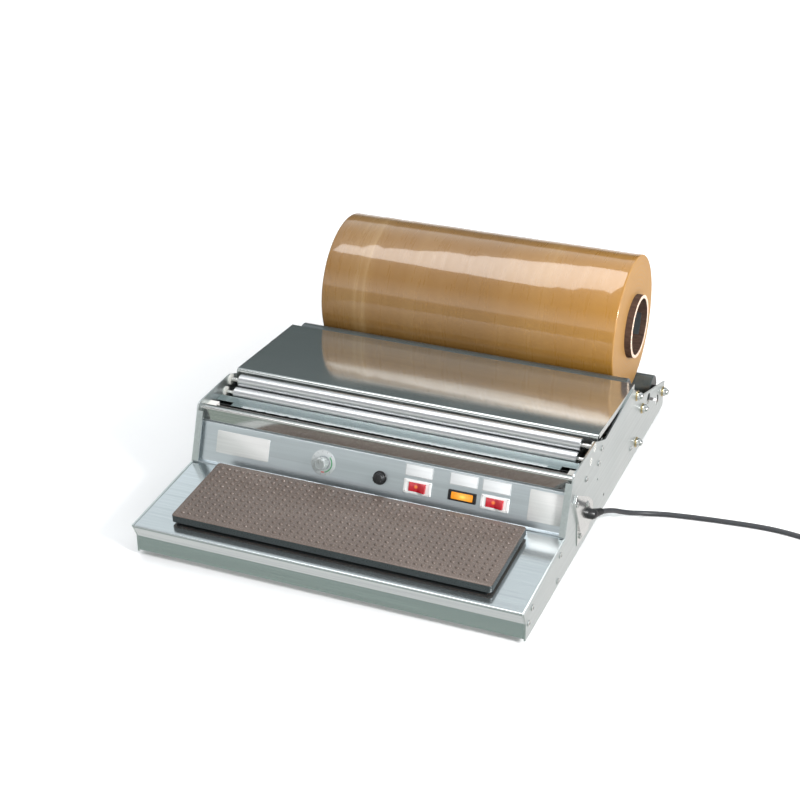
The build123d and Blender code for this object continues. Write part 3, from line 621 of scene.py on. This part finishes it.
def filmColour():
    # wound stretch film: amber, with streaks round the roll where the film lies thicker or thinner
    material, tree, surface = finish(
        "woundFilm", (0.36, 0.19, 0.05), rough=0.30, IOR=1.45, Coat_Weight=0.9, Coat_Roughness=0.06,
        Coat_IOR=1.7,
    )
    broad = speckle(tree, 16.0, (1, 0.04, 0.04), detail=5.0, rough=0.6)
    scratch = speckle(tree, 150.0, (1, 0.12, 0.12), detail=4.0, rough=0.6)
    mix = tree.nodes.new("ShaderNodeMix")
    mix.data_type = "RGBA"
    brown = [(0.30, (0.225, 0.110, 0.024)), (0.50, (0.235, 0.117, 0.027)), (0.62, (0.255, 0.134, 0.036)),
             (0.72, (0.36, 0.225, 0.095))]
    orange = [(0.30, (0.36, 0.165, 0.020)), (0.60, (0.38, 0.178, 0.023)), (0.74, (0.46, 0.26, 0.065))]
    colours(tree, broad, brown, mix.inputs["A"])
    colours(tree, broad, orange, mix.inputs["B"])
    # light comes in through the right end, so the film glows more orange towards it
    split = tree.nodes.new("ShaderNodeSeparateXYZ")
    tree.links.new(pattern(tree), split.inputs["Vector"])
    spread(tree, split.outputs["X"], 0.0, 0.9, mix.inputs["Factor"], 0.02, 0.20)
    tree.links.new(mix.outputs["Result"], surface.inputs["Base Color"])
    spread(tree, scratch, 0.22, 0.44, surface.inputs["Roughness"], 0.35, 0.65)
    bumps(tree, surface, scratch, 0.010, 0.0003, "Coat Normal")
    return material


def filmEdges():
    # ends of the winding: thousands of cut film edges, in faint rings
    material, tree, surface = finish("filmEdges", (0.56, 0.30, 0.085), rough=0.55)
    rings = tree.nodes.new("ShaderNodeTexWave")
    rings.wave_type = "RINGS"
    rings.rings_direction = "X"
    rings.inputs["Scale"].default_value = 55
    rings.inputs["Distortion"].default_value = 5
    rings.inputs["Detail"].default_value = 3
    tree.links.new(pattern(tree, centre=at(0, *roll["middle"])), rings.inputs["Vector"])
    colours(tree, rings.outputs["Fac"], [(0.0, (0.37, 0.195, 0.060)), (1.0, (0.42, 0.228, 0.074))],
            surface.inputs["Base Color"])
    spread(tree, rings.outputs["Fac"], 0.48, 0.62, surface.inputs["Roughness"], 0.0, 1.0)
    return material


def cardboard(name, dark, light):
    material, tree, surface = finish(name, light, rough=0.85)
    fibres = speckle(tree, 300.0, (0.3, 1, 1), detail=5.0)
    colours(tree, fibres, [(0.3, dark), (0.7, light)], surface.inputs["Base Color"])
    bumps(tree, surface, fibres, 0.4, 0.0003)
    return material


def makeRoll():
    half, r, edge = roll["half"], roll["radius"], roll["edge"]
    place = onAxis(roll["middle"])
    side = []
    for n in range(roll["ridges"]):  # the film's edges stand a little in and out of each other
        rise = roll["core"] + (r - edge - roll["core"]) * n / (roll["ridges"] - 1)
        side.append((half - random.uniform(0.0, roll["ridgeStep"]), rise))
    rim = [(half - 0.3, r - edge * 0.6), (half - edge * 0.5, r - edge * 0.15), (half - edge * 1.6, r)]
    right = side + rim
    # the winding swells and narrows by a hair along its length
    reach, swell = roll["swellReach"], roll["swell"]
    spots = range(-reach, reach + 1, roll["swellEvery"])
    steps = [(-a, r - random.uniform(0.0, swell)) for a in spots]
    winding = turned(right + steps + [(-a, b) for a, b in right[::-1]], steps=144, closed=True)
    for face in winding.faces:
        face.material_index = 1 if abs(face.normal.x) > 0.7 else 0
    looks = [filmColour(), filmEdges()]
    makePiece("filmRoll", winding, place, "film_roll", looks, "film_winding", crease=60)
    bore, core, long, edge = roll["bore"], roll["core"], roll["coreHalf"], roll["coreEdge"]
    tube = [
        (-long, bore + edge), (-long, core - edge), (edge - long, core), (long - edge, core),
        (long, core - edge), (long, bore + edge), (long - edge, bore), (edge - long, bore),
    ]
    card = turned(tube, steps=96, closed=True)
    for face in card.faces:
        face.material_index = 1 if abs(face.normal.x) > 0.3 else 0
    # core walls: brown card, made darker than the card itself as painted shade on the rim and inside the bore
    looks = [
        cardboard("coreBrown", (0.045, 0.022, 0.014), (0.095, 0.052, 0.034)),
        cardboard("cutCard", (0.66, 0.46, 0.34), (0.86, 0.68, 0.56)),
    ]
    makePiece("coreTube", card, place, "film_roll", looks, "core_tube")


def makeSticker():
    # blank sticker inside the right end of the core
    facts = roll["sticker"]
    inner, (low, high) = roll["bore"] - facts["gap"], facts["along"]
    outer = inner + facts["sheet"]
    section = ((low, inner), (high, inner), (high, outer), (low, outer))
    bm = band(section, "X", facts["from"], facts["sweep"], 14)
    darkFoil = foil("stickerFoil", (0.10, 0.11, 0.115))
    makePiece("coreSticker", bm, onAxis(roll["middle"]), "film_roll", darkFoil)


makeRoll()
makeSticker()
print("film roll done")


# Rollers
rollers = {
    "guides": {"front": (232.966, 101.0), "rear": (247.466, 112.0)},
    "guideRadius": 8.5, "guideHalf": 226.5, "guideBore": 6.7, "guideEdge": 0.6,
    "cradles": {"front": (439.0, 88.0), "rear": (582.0, 25.0)},
    "cradleRadius": 20.0, "cradleHalf": 229.0, "cradleBore": 18.0, "cradleEdge": 1.0,
}


def rollerTube(kind, steps):
    half, outer, bore, edge = (rollers[kind + key] for key in ("Half", "Radius", "Bore", "Edge"))
    outline = [
        (-half, bore), (-half, outer - edge), (edge - half, outer), (half - edge, outer),
        (half, outer - edge), (half, bore),
    ]
    return turned(outline, steps=steps, closed=True)


def makeRollers():
    for name, spot in rollers["guides"].items():
        makePiece(f"{name}GuideTube", rollerTube("guide", 72), onAxis(spot), f"{name}_guide_roller",
                  rollerAluminium, f"{name}_guide_tube")
        painted(f"{name}_guide_journals", shaftSteel)
    for name, spot in rollers["cradles"].items():
        makePiece(f"{name}CradleTube", rollerTube("cradle", 96), onAxis(spot), f"{name}_cradle_roller",
                  rollerGrey, f"{name}_cradle_tube")
        painted(f"{name}_cradle_caps", blackPlastic)
        painted(f"{name}_cradle_axle", shaftSteel)
    painted("guide_bushes", bushPlastic)
    for node in ("film_guide_rod", "tie_rod"):
        painted(node, shaftSteel)
    painted("cutter_rod", moulded("cutterWire", (0.05, 0.045, 0.04), 0.4))


makeRollers()
print("rollers done")


# Running film
film = {
    "half": 200.0, "columns": 100, "sheet": 0.12,
    "line": [(529.14, 39.67), (470.07, 49.39), (242.68, 103.69), (235.75, 111.07), (208.0, 103.35),
             (196.5, 103.25)],
    "bends": [2.0, 4.0, 5.5, 3.0], "longRun": 20.0, "onStrip": 207.5,
    "milky": (197.5, 204.0), "loose": (202.0, 3.0), "torn": 198.5,
}


def clearFilm():
    # nearly invisible where it is stretched, milky and creased at the free end on the strip
    material, tree, surface = finish("clearFilm", (0.80, 0.84, 0.85), rough=0.12, IOR=1.5)
    creases = speckle(tree, 70.0, (1, 0.6, 0.6), detail=6.0, rough=0.65)
    split = tree.nodes.new("ShaderNodeSeparateXYZ")
    tree.links.new(pattern(tree), split.inputs["Vector"])
    low, high = (at(0, y, 0).y for y in film["milky"])
    spread(tree, split.outputs["Y"], 0.40, 0.015, surface.inputs["Alpha"], low, high)
    spread(tree, creases, 0.08, 0.24, surface.inputs["Roughness"])
    bumps(tree, surface, creases, 0.25, 0.0006)
    material.surface_render_method = "DITHERED"
    return material


def makeFilm():
    bm = bmesh.new()
    half = film["half"]
    points = [bm.verts.new((-half, y, z)) for y, z in film["line"]]
    for pair in zip(points, points[1:]):
        bm.edges.new(pair)
    for point, width in zip(points[1:-1], film["bends"]):
        bmesh.ops.bevel(bm, geom=[point], offset=width, offset_type="OFFSET", segments=6, profile=0.5,
                        affect="VERTICES", clamp_overlap=True, material=-1)
    longRuns = [e for e in bm.edges if e.calc_length() > film["longRun"]]
    bmesh.ops.subdivide_edges(bm, edges=longRuns, cuts=12)
    lastRun = [e for e in bm.edges if all(v.co.y < film["onStrip"] for v in e.verts)]
    bmesh.ops.subdivide_edges(bm, edges=lastRun, cuts=5)
    wire = bm.edges[:]
    step = 2 * half / film["columns"]
    for n in range(film["columns"]):
        grown = bmesh.ops.extrude_edge_only(bm, edges=wire)["geom"]
        wire = [g for g in grown if isinstance(g, bmesh.types.BMEdge)]
        bmesh.ops.translate(bm, vec=(step, 0, 0), verts=pointsOf(grown))
    edge, over = film["loose"]
    for v in bm.verts:
        x, y, z = v.co
        loose = max(0.0, min(1.0, (edge - y) / over))  # only the free end on the strip is crumpled
        crumple = noise.noise(Vector((x / 7, y / 4, 3))) + 0.6 * noise.noise(Vector((x / 3, y / 2, 9)))
        v.co.z += loose * (0.25 + 1.1 * max(0.0, crumple))
        if y < film["torn"]:  # ragged edge where the rod melted it off
            v.co.y += 2.2 * noise.noise(Vector((x / 5, 1, 4))) + 1.2 * noise.noise(Vector((x / 1.9, 2, 4)))
    tidy(bm)
    look = clearFilm()
    piece = makePiece("runningFilm", bm, machinePlace, "frame", look, "film_web", crease=180)
    skin = piece.modifiers.new("thickness", "SOLIDIFY")
    skin.thickness = film["sheet"] / 1000
    skin.offset = 0.0


makeFilm()
print("running film done")


# Nuts and screws
nuts = {
    "axles": [(439.0, 88.0), (582.0, 25.0)], "rods": [(471.0, 54.0), (449.0, 15.0)],
    "flats": 10.0, "height": 4.0, "edge": 0.45, "dome": 4.6, "domeRise": 4.0,
    "washer": 7.0, "washerBore": 4.1, "washerSheet": 1.2,
}
screws = {
    "radius": 3.6, "height": 1.8, "crown": 0.6, "slot": 0.45, "reach": 2.0, "depth": 0.9,
    "sides": [(20.4, 31.0), (9.0, 18.0), (115.0, 6.5), (121.0, 38.0), (216.5, 86.0), (422.0, 19.5),
              (268.0, 80.0), (279.0, 95.0)],
    "clamp": [(171.5, 77.0, 3.0), (217.0, 53.0, 3.0), (198.0, 19.0, 1.0)],
    "feet": [(side * 215.0, y) for side in (-1, 1) for y in (25.0, 560.0)], "feetUp": 3.2,
}
footLine = [(-6, 0), (-6, 8.6), (-5.2, 9.8), (-1, 11), (1.6, 11), (2, 10.6), (2, 0)]  # (height, radius)


def outward(side, y, z, seat=0.0):  # places a shape that points along Z on the outside of a side plate
    turn = Matrix.Rotation(side * math.pi / 2, 4, "Y")
    return Matrix.Translation((side * (machine["halfWidth"] + seat), y, z)) @ turn


def hexDome():
    bm = bmesh.new()
    base = nuts["washerSheet"]
    top = base + nuts["height"]
    rod(bm, nuts["flats"] / math.sqrt(3), base, top, 6)
    roundEdges(bm, bm.edges[:], nuts["edge"], 2)
    r, rise = nuts["dome"], nuts["domeRise"]
    arc = [(top + rise * math.sin(a), r * math.cos(a)) for a in (0, 0.4, 0.8, 1.2, math.pi / 2)]
    turned([(top - 1, r), *arc], "Z", 20, bm=bm)
    return bm


def washerRing():
    r, bore, sheet = nuts["washer"], nuts["washerBore"], nuts["washerSheet"]
    outline = [(0, bore), (0, r), (sheet * 0.7, r), (sheet, r - 0.4), (sheet, bore)]
    return turned(outline, "Z", 28, closed=True)


def crossHead():
    # domed screw head with a sunk cross: a square grid whose border is drawn out to a circle
    bm = bmesh.new()
    bmesh.ops.create_grid(bm, x_segments=5, y_segments=5, size=1)
    widest = max(v.co.x for v in bm.verts)
    span = {0: screws["slot"], 1: screws["reach"]}
    cross = []
    for f in bm.faces:
        middle = f.calc_center_median() / widest
        if min(abs(middle.x), abs(middle.y)) < 0.1 and max(abs(middle.x), abs(middle.y)) < 0.5:
            cross.append(f)
    for v in bm.verts:
        tx, ty = v.co.x / widest, v.co.y / widest
        if abs(tx) > 0.9:
            a = math.pi / 4 * (ty / abs(tx))
            v.co = Vector((math.copysign(math.cos(a), tx), math.sin(a), 0)) * screws["radius"]
        elif abs(ty) > 0.9:
            a = math.pi / 4 * tx
            v.co = Vector((math.sin(a), math.copysign(math.cos(a), ty), 0)) * screws["radius"]
        else:  # the inner lines of the grid, at 0.2 and 0.6, become the sides and ends of the cross
            v.co.x = math.copysign(span[round((abs(tx) - 0.2) / 0.4)], tx)
            v.co.y = math.copysign(span[round((abs(ty) - 0.2) / 0.4)], ty)
        v.co.z = screws["height"] - screws["crown"] * (v.co.xy.length / screws["radius"]) ** 2
    rim = bmesh.ops.extrude_edge_only(bm, edges=[e for e in bm.edges if e.is_boundary])["geom"]
    for v in pointsOf(rim):
        v.co.z = 0
    floor = bmesh.ops.extrude_face_region(bm, geom=cross)["geom"]
    bmesh.ops.delete(bm, geom=cross, context="FACES")
    bmesh.ops.translate(bm, vec=(0, 0, -screws["depth"]), verts=pointsOf(floor))
    tidy(bm)
    return bm


def makeHardware():
    for name, spots, node in (
        ("axleNuts", nuts["axles"], "axle_nuts"), ("rodNuts", nuts["rods"], "rod_nuts"),
    ):
        places = [outward(side, *spot) for spot in spots for side in (-1, 1)]
        domes = bmesh.new()
        stamp(domes, hexDome(), places)
        makePiece(name, domes, machinePlace, "frame", chrome, node)
        rings = bmesh.new()
        stamp(rings, washerRing(), places)
        makePiece(name + "Washers", rings, machinePlace, "frame", brassTint)
    heads = bmesh.new()
    places = [outward(side, *spot) for spot in screws["sides"] for side in (-1, 1)]
    places += [outward(1, y, z, seat) for y, z, seat in screws["clamp"]]
    stamp(heads, crossHead(), [p @ Matrix.Rotation(random.uniform(0, 1.5), 4, "Z") for p in places])
    makePiece("sideScrews", heads, machinePlace, "frame", chrome, "side_screws")
    low, feet = bmesh.new(), bmesh.new()
    stamp(low, crossHead(), [Matrix.Translation((x, y, screws["feetUp"])) for x, y in screws["feet"]])
    makePiece("footScrews", low, machinePlace, "frame", chrome, "foot_screws")
    stamp(feet, turned(footLine, "Z", 32), [Matrix.Translation((x, y, 0)) for x, y in screws["feet"]])
    makePiece("rubberFeet", feet, machinePlace, "frame", footRubber, "feet")


makeHardware()
print("nuts and screws done")


# Controls on the panel
controls = {
    "knob": {"at": (-69.0, 26.0), "radius": 8.0, "lift": 1.0, "tall": 12.0, "flutes": 24, "taper": 0.93,
             "edge": 0.7, "dish": (1.3, 0.5), "pointer": (1.1, 5.4, 0.9), "pointerOut": 3.6,
             "spindle": (3.0, -12.0, 1.0)},
    "dial": {"inner": 8.6, "outer": 16.0, "sheet": 0.4, "print": (0.35, 0.5), "arc": (10.6, 12.0),
             "ticks": 11, "tick": (0.5, 2.0), "tickOut": 13.9, "firstTick": 225, "tickStep": 27,
             "green": (-75, 120), "red": (-98, 20)},
    "fuse": {"at": (6.0, 22.0), "radius": 7.0, "foot": 1.6, "tall": 8.0, "slot": (1.4, 8.6, 0.9), "ribs": 12,
             "rib": (0.9, 0.9, 3.6), "ribUp": 4.6, "spindle": (3.0, -8.0, 1.6),
             "holder": 8.5, "holderSheet": 1.5, "barrel": 5.85, "barrelDeep": 30.0, "bore": 3.1},
    "switches": {"cutter": (54.5, 19.5), "plate": (151.5, 19.5)},
    "bezel": (35.0, 17.0), "bezelSheet": 1.6, "rim": 2.4, "rimDrop": 0.35,
    "rocker": (21.6, 11.4), "rockerSlack": 0.8, "rockerProud": 3.4, "rockerDeep": 3.5, "rockerEdge": 0.55,
    "lamp": {"at": (111.0, 19.5), "bezel": (35.0, 12.7), "lens": (26.6, 8.5), "low": -0.6, "high": 2.6,
             "ribs": 9, "rib": (0.7, 0.5), "firstRib": 1.7, "ribStep": 2.9},
    "labelUp": 39.0, "label": (35.0, 14.5), "labelSheet": 0.4, "labelLine": 0.35,
    "namePlate": {"at": (-178.0, 26.5), "size": (72.0, 28.0)},
    "ratingPlate": {"at": (215.0, 26.5), "size": (46.0, 37.0)},
}


def knobPlastic():
    material, tree, surface = finish(
        "knobPlastic", (0.42, 0.45, 0.45), rough=0.22, Transmission_Weight=0.35, Coat_Weight=0.6
    )
    cloudy = speckle(tree, 60.0, detail=3.0)
    greys = [(0.3, (0.36, 0.39, 0.39)), (0.7, (0.52, 0.55, 0.55))]
    colours(tree, cloudy, greys, surface.inputs["Base Color"])
    spread(tree, cloudy, 0.16, 0.30, surface.inputs["Roughness"])
    return material


def makeKnob():
    facts = controls["knob"]
    bm = bmesh.new()
    low, high = facts["lift"], facts["lift"] + facts["tall"]
    bmesh.ops.create_circle(bm, cap_ends=True, segments=2 * facts["flutes"], radius=facts["radius"],
                            matrix=Matrix.Translation((0, 0, low)))
    for n, v in enumerate(bm.verts):
        v.co.xy *= facts["taper"] if n % 2 else 1.0  # flutes
    top = pointsOf(bmesh.ops.extrude_face_region(bm, geom=bm.faces[:])["geom"])
    bmesh.ops.translate(bm, vec=(0, 0, high - low), verts=top)
    for v in top:
        v.co.xy *= facts["taper"]
    tidy(bm)
    roundEdges(bm, list(topFace(bm).edges), facts["edge"], 3)
    sink(bm, topFace(bm), *facts["dish"])
    block(bm, (0, facts["pointerOut"], high - 0.1), facts["pointer"])
    rod(bm, *facts["spindle"], 24)  # goes through the panel
    place = onPanel(facts["at"])
    makePiece("heatKnob", bm, place, "heat_knob", knobPlastic(), "thermostat_knob", crease=30)


def makeDial():
    place, ring = onPanel(controls["knob"]["at"]), controls["dial"]
    inner, outer, sheet = ring["inner"], ring["outer"], ring["sheet"]
    outline = [(0, inner), (0, outer), (sheet - 0.1, outer), (sheet, outer - 0.3), (sheet, inner)]
    base = turned(outline, "Z", 64, closed=True)
    makePiece("dialRing", base, place, "frame", dialFoil, "dial_ring")
    marks = bmesh.new()
    low, high = ring["print"]
    turns = [math.radians(ring["firstTick"] - ring["tickStep"] * n) for n in range(ring["ticks"])]
    out = Matrix.Translation((0, ring["tickOut"], 0))
    stamp(marks, slab(ring["tick"], low, high), [Matrix.Rotation(turn, 4, "Z") @ out for turn in turns])
    makePiece("dialTicks", marks, place, "frame", greyMark)
    a, b = ring["arc"]
    section = ((a, low), (b, low), (b, high), (a, high))
    for name, arc, paint in (("dialGreenArc", "green", greenMark), ("dialRedEnd", "red", redMark)):
        makePiece(name, band(section, "Z", *ring[arc], 20), place, "frame", paint)


def makeFuse():
    facts = controls["fuse"]
    r, low = facts["radius"], facts["foot"]
    high = low + facts["tall"]
    outline = [
        (low, 0), (low, r), (low + 2, r), (low + 2.4, r - 0.5), (high - 1.2, r - 0.8), (high - 0.3, r - 1.4),
        (high, r - 2.3), (high, 0),
    ]
    cap = turned(outline, "Z", 48)
    block(cap, (0, 0, high + 0.2), facts["slot"])
    rod(cap, *facts["spindle"], 20)
    for n in range(facts["ribs"]):  # grip ribs round the cap
        turn = Matrix.Rotation(2 * math.pi * n / facts["ribs"], 4, "Z")
        block(cap, (r - 0.6, 0, low + facts["ribUp"]), facts["rib"], turn)
    makePiece("fuseCap", cap, onPanel(facts["at"]), "fuse_plug", blackPlastic, "fuse_cap")
    wide, sheet, bore, barrel = facts["holder"], facts["holderSheet"], facts["bore"], facts["barrel"]
    deep = -facts["barrelDeep"]
    outline = [
        (deep, bore), (deep, barrel), (0, barrel), (0, wide), (sheet - 0.4, wide), (sheet, wide - 0.4),
        (sheet, bore),
    ]
    seat = turned(outline, "Z", 48, closed=True)
    makePiece("fuseHolder", seat, onPanel(facts["at"]), "frame", blackPlastic, "fuse_holder")


def glowing(name, colour, deep, glow, centre, size, strength):
    # clear coloured plastic, lit from behind in its middle
    material, tree, surface = finish(
        name, colour, rough=0.18, Coat_Weight=1.0, Coat_Roughness=0.04, Emission_Strength=strength
    )
    ball = tree.nodes.new("ShaderNodeTexGradient")
    ball.gradient_type = "SPHERICAL"
    tree.links.new(pattern(tree, [1 / s for s in size], centre), ball.inputs["Vector"])
    colours(tree, ball.outputs["Fac"], [(0.0, deep), (0.55, [g * 0.45 for g in glow]), (0.85, glow)],
            surface.inputs["Emission Color"])
    cloudy = speckle(tree, 120.0, detail=3.0)
    mottle(tree, surface, cloudy, colour, 0.8, 1.0)
    return material


def makeSwitch(name, spot):
    wide, high = controls["bezel"]
    sheet, rim, slack = controls["bezelSheet"], controls["rim"], controls["rockerSlack"]
    rw, rh = controls["rocker"]
    place = onPanel(spot)
    body = slab((wide, high), 0, sheet, corner=1.2, edge=0.5)
    sink(body, topFace(body), rim, controls["rimDrop"])
    flat = [f for f in body.faces if f.normal.z > 0.9 and f.calc_center_median().z < sheet - 0.2]
    floor = max(flat, key=lambda f: f.calc_area())
    bmesh.ops.inset_region(body, faces=[floor], thickness=0.1)
    inner = 2 * (rim + 0.1)
    fit = ((rw + slack) / (wide - inner), (rh + slack) / (high - inner), 1)
    bmesh.ops.scale(body, vec=fit, verts=floor.verts)
    sink(body, floor, 0.02, 7.0)
    makePiece(f"{name}SwitchFrame", body, place, "frame", whitePlastic, f"{name}_switch")
    key = bmesh.new()
    half, proud, deep = rw / 2, controls["rockerProud"], -controls["rockerDeep"]
    flush = sheet + 0.2
    profile = [
        (-half, deep), (-half, flush + 0.3), (-half * 0.5, flush - 0.2), (0, flush),
        (half * 0.5, flush + proud * 0.62), (half, flush + proud), (half, deep),
    ]
    face = key.faces.new([key.verts.new((x, -rh / 2, z)) for x, z in profile])
    grown = bmesh.ops.extrude_face_region(key, geom=[face])["geom"]
    bmesh.ops.translate(key, vec=(0, rh, 0), verts=pointsOf(grown))
    tidy(key)
    upper = [e for e in key.edges if max(v.co.z for v in e.verts) > 0.5]
    roundEdges(key, upper, controls["rockerEdge"], 3)
    centre = panelPlace @ Vector((spot[0] - 1.5, spot[1] + 1, 3.0))
    red = glowing(f"{name}Red", (0.50, 0.006, 0.022), (0.05, 0.0, 0.0), (1.0, 0.45, 0.04), centre,
                  (0.0032, 0.0026, 0.0032), 1.3)
    makePiece(f"{name}Rocker", key, place, f"{name}_key", red, f"{name}_rocker", crease=50)


def makeLamp():
    facts = controls["lamp"]
    (bw, bh), (lw, lh), (across, tall) = facts["bezel"], facts["lens"], facts["rib"]
    low, high = facts["low"], facts["high"]
    bezel = slab((bw, bh), 0, controls["bezelSheet"], corner=1.0, edge=0.4)
    sink(bezel, topFace(bezel), (bh - lh) / 2 - 0.1, 1.0)
    makePiece("lampBezel", bezel, onPanel(facts["at"]), "frame", blackPlastic, "lamp_bezel")
    lens = slab((lw, lh), low, high, corner=0.8, edge=0.6)
    for n in range(facts["ribs"]):  # ribs moulded in the lens
        x = -lw / 2 + facts["firstRib"] + n * facts["ribStep"]
        block(lens, (x, 0, high + 0.02), (across, lh - 1.6, tall))
    centre = panelPlace @ Vector((facts["at"][0] + 1, facts["at"][1], high))
    amber = glowing("lampAmber", (0.75, 0.26, 0.01), (0.42, 0.13, 0.0), (1.0, 0.62, 0.12), centre,
                    (0.011, 0.006, 0.006), 0.9)
    makePiece("lampLens", lens, onPanel(facts["at"]), "frame", amber, "lamp_lens")


def makeLabels():
    # blank plates, the small ones with a thin line round their edge
    wide, high = controls["label"]
    sheet, line = controls["labelSheet"], controls["labelLine"]
    shapes, lines, plates = bmesh.new(), bmesh.new(), bmesh.new()
    spots = [controls["switches"]["cutter"][0], controls["lamp"]["at"][0], controls["switches"]["plate"][0]]
    places = [Matrix.Translation((x, controls["labelUp"], 0)) for x in spots]
    stamp(shapes, slab((wide, high), 0, sheet, corner=0.8, edge=0.12), places)
    makePiece("switchLabels", shapes, panelPlace, "frame", labelFoil, "switch_labels")
    border = slab((wide - 0.6, high - 0.6), sheet - 0.1, sheet + 0.06, corner=0.7)
    bmesh.ops.inset_region(border, faces=[topFace(border)], thickness=line)
    bmesh.ops.delete(border, geom=[topFace(border)], context="FACES")
    stamp(lines, border, places)
    makePiece("labelLines", lines, panelPlace, "frame", greyMark)
    for facts in (controls["namePlate"], controls["ratingPlate"]):
        plate = slab(facts["size"], 0, sheet, corner=1.5, edge=0.15)
        stamp(plates, plate, [Matrix.Translation((*facts["at"], 0))])
    makePiece("endPlates", plates, panelPlace, "frame", plateFoil, "end_plates")


makeKnob()
makeDial()
makeFuse()
for name, spot in controls["switches"].items():
    makeSwitch(name, spot)
makeLamp()
makeLabels()
print("controls done")


# Parts on the base, under the deck and the cover
def makeInside():
    painted("thermostat_body", blackPlastic)
    painted("transformer_core", brushedSteel("coreIron", (0.30, 0.29, 0.28), 0.5, stretch=(4, 900, 4)))
    painted("transformer_coil", coilTape)
    painted("terminal_block", whitePlastic)
    painted("wiring_loom", wireJacket)


makeInside()
print("inside done")


# Floor and light
studio = {
    "floor": (0.92, 0.92, 0.925), "floorHalf": 9, "glow": (0.42, 0.02), "glowReach": 1.3, "room": 0.95,
    "overhead": {"at": (-0.45, 0.20, 2.2), "size": (1.9, 0.80), "power": 19, "aim": (-0.3, 0.12, 0.1)},
    "right": {"at": (1.9, -0.9, 1.2), "size": (0.5, 0.5), "power": 58, "aim": (0, 0, 0.1)},
    "behind": {"at": (0.6, 1.8, 2.3), "size": (1.4, 1.0), "power": 12, "aim": (0, 0, 0)},
    "unmirrored": ["behind"],  # lights that shine on the machine but are not seen in its steel
    # room by height: in front grey-green at the horizon, with a bright band above it
    "front": [(0.0, (0.38, 0.45, 0.41)), (0.16, (0.42, 0.46, 0.47)), (0.195, (1.45, 1.44, 1.42)),
              (0.60, (0.36, 0.37, 0.38)), (0.85, (0.60, 0.61, 0.62))],
    # and behind pale at the horizon, dark above it and bright from half way up
    "back": [(0.0, (0.95, 0.93, 0.91)), (0.06, (0.25, 0.27, 0.27)), (0.20, (0.060, 0.085, 0.085)),
             (0.455, (0.060, 0.085, 0.088)), (0.525, (1.15, 1.24, 1.29)), (0.85, (0.60, 0.62, 0.63))],
}


def softbox(name):
    facts = studio[name]
    data = bpy.data.lights.new(name + "Light", "AREA")
    data.shape = "RECTANGLE"
    data.size, data.size_y = facts["size"]
    data.energy = facts["power"]
    lamp = bpy.data.objects.new(name + "Light", data)
    lamp.location = facts["at"]
    way = Vector(facts["aim"]) - Vector(facts["at"])
    lamp.rotation_euler = way.to_track_quat("-Z", "Y").to_euler()
    lamp.visible_glossy = name not in studio["unmirrored"]
    bpy.context.scene.collection.objects.link(lamp)


def makeStudio():
    bm = bmesh.new()
    bmesh.ops.create_grid(bm, x_segments=1, y_segments=1, size=studio["floorHalf"])
    mesh = bpy.data.meshes.new("studioFloor")
    bm.to_mesh(mesh)
    bm.free()
    floor = bpy.data.objects.new("studioFloor", mesh)
    bpy.context.scene.collection.objects.link(floor)
    material, tree, surface = finish("floorPaper", studio["floor"], rough=0.9)
    surface.inputs["Emission Color"].default_value = (1, 1, 1, 1)
    # a little painted glow that rises away from the machine, so that the floor stays white up to the edges of
    # the view while the shadows beside it stay dark
    ball = tree.nodes.new("ShaderNodeTexGradient")
    ball.gradient_type = "SPHERICAL"
    tree.links.new(pattern(tree, [1 / studio["glowReach"]] * 3), ball.inputs["Vector"])
    spread(tree, ball.outputs["Fac"], *studio["glow"], surface.inputs["Emission Strength"], 0.0, 0.75)
    mesh.materials.append(material)
    floor.visible_glossy = False  # the steel mirrors the room below the horizon instead of the paper
    for name in ("overhead", "right", "behind"):
        softbox(name)
    world = bpy.data.worlds.new("room")
    bpy.context.scene.world = world
    world.use_nodes = True
    tree = world.node_tree
    sky = tree.nodes["Background"]
    where = tree.nodes.new("ShaderNodeTexCoord")
    split = tree.nodes.new("ShaderNodeSeparateXYZ")
    tree.links.new(where.outputs["Generated"], split.inputs["Vector"])
    mix = tree.nodes.new("ShaderNodeMix")
    mix.data_type = "RGBA"
    spread(tree, split.outputs["Y"], 0.0, 1.0, mix.inputs["Factor"], -0.45, -0.05)
    colours(tree, split.outputs["Z"], studio["front"], mix.inputs["A"])
    colours(tree, split.outputs["Z"], studio["back"], mix.inputs["B"])
    tree.links.new(mix.outputs["Result"], sky.inputs["Color"])
    sky.inputs["Strength"].default_value = studio["room"]
    bpy.context.scene.view_settings.view_transform = "Standard"


makeStudio()
print("studio done")
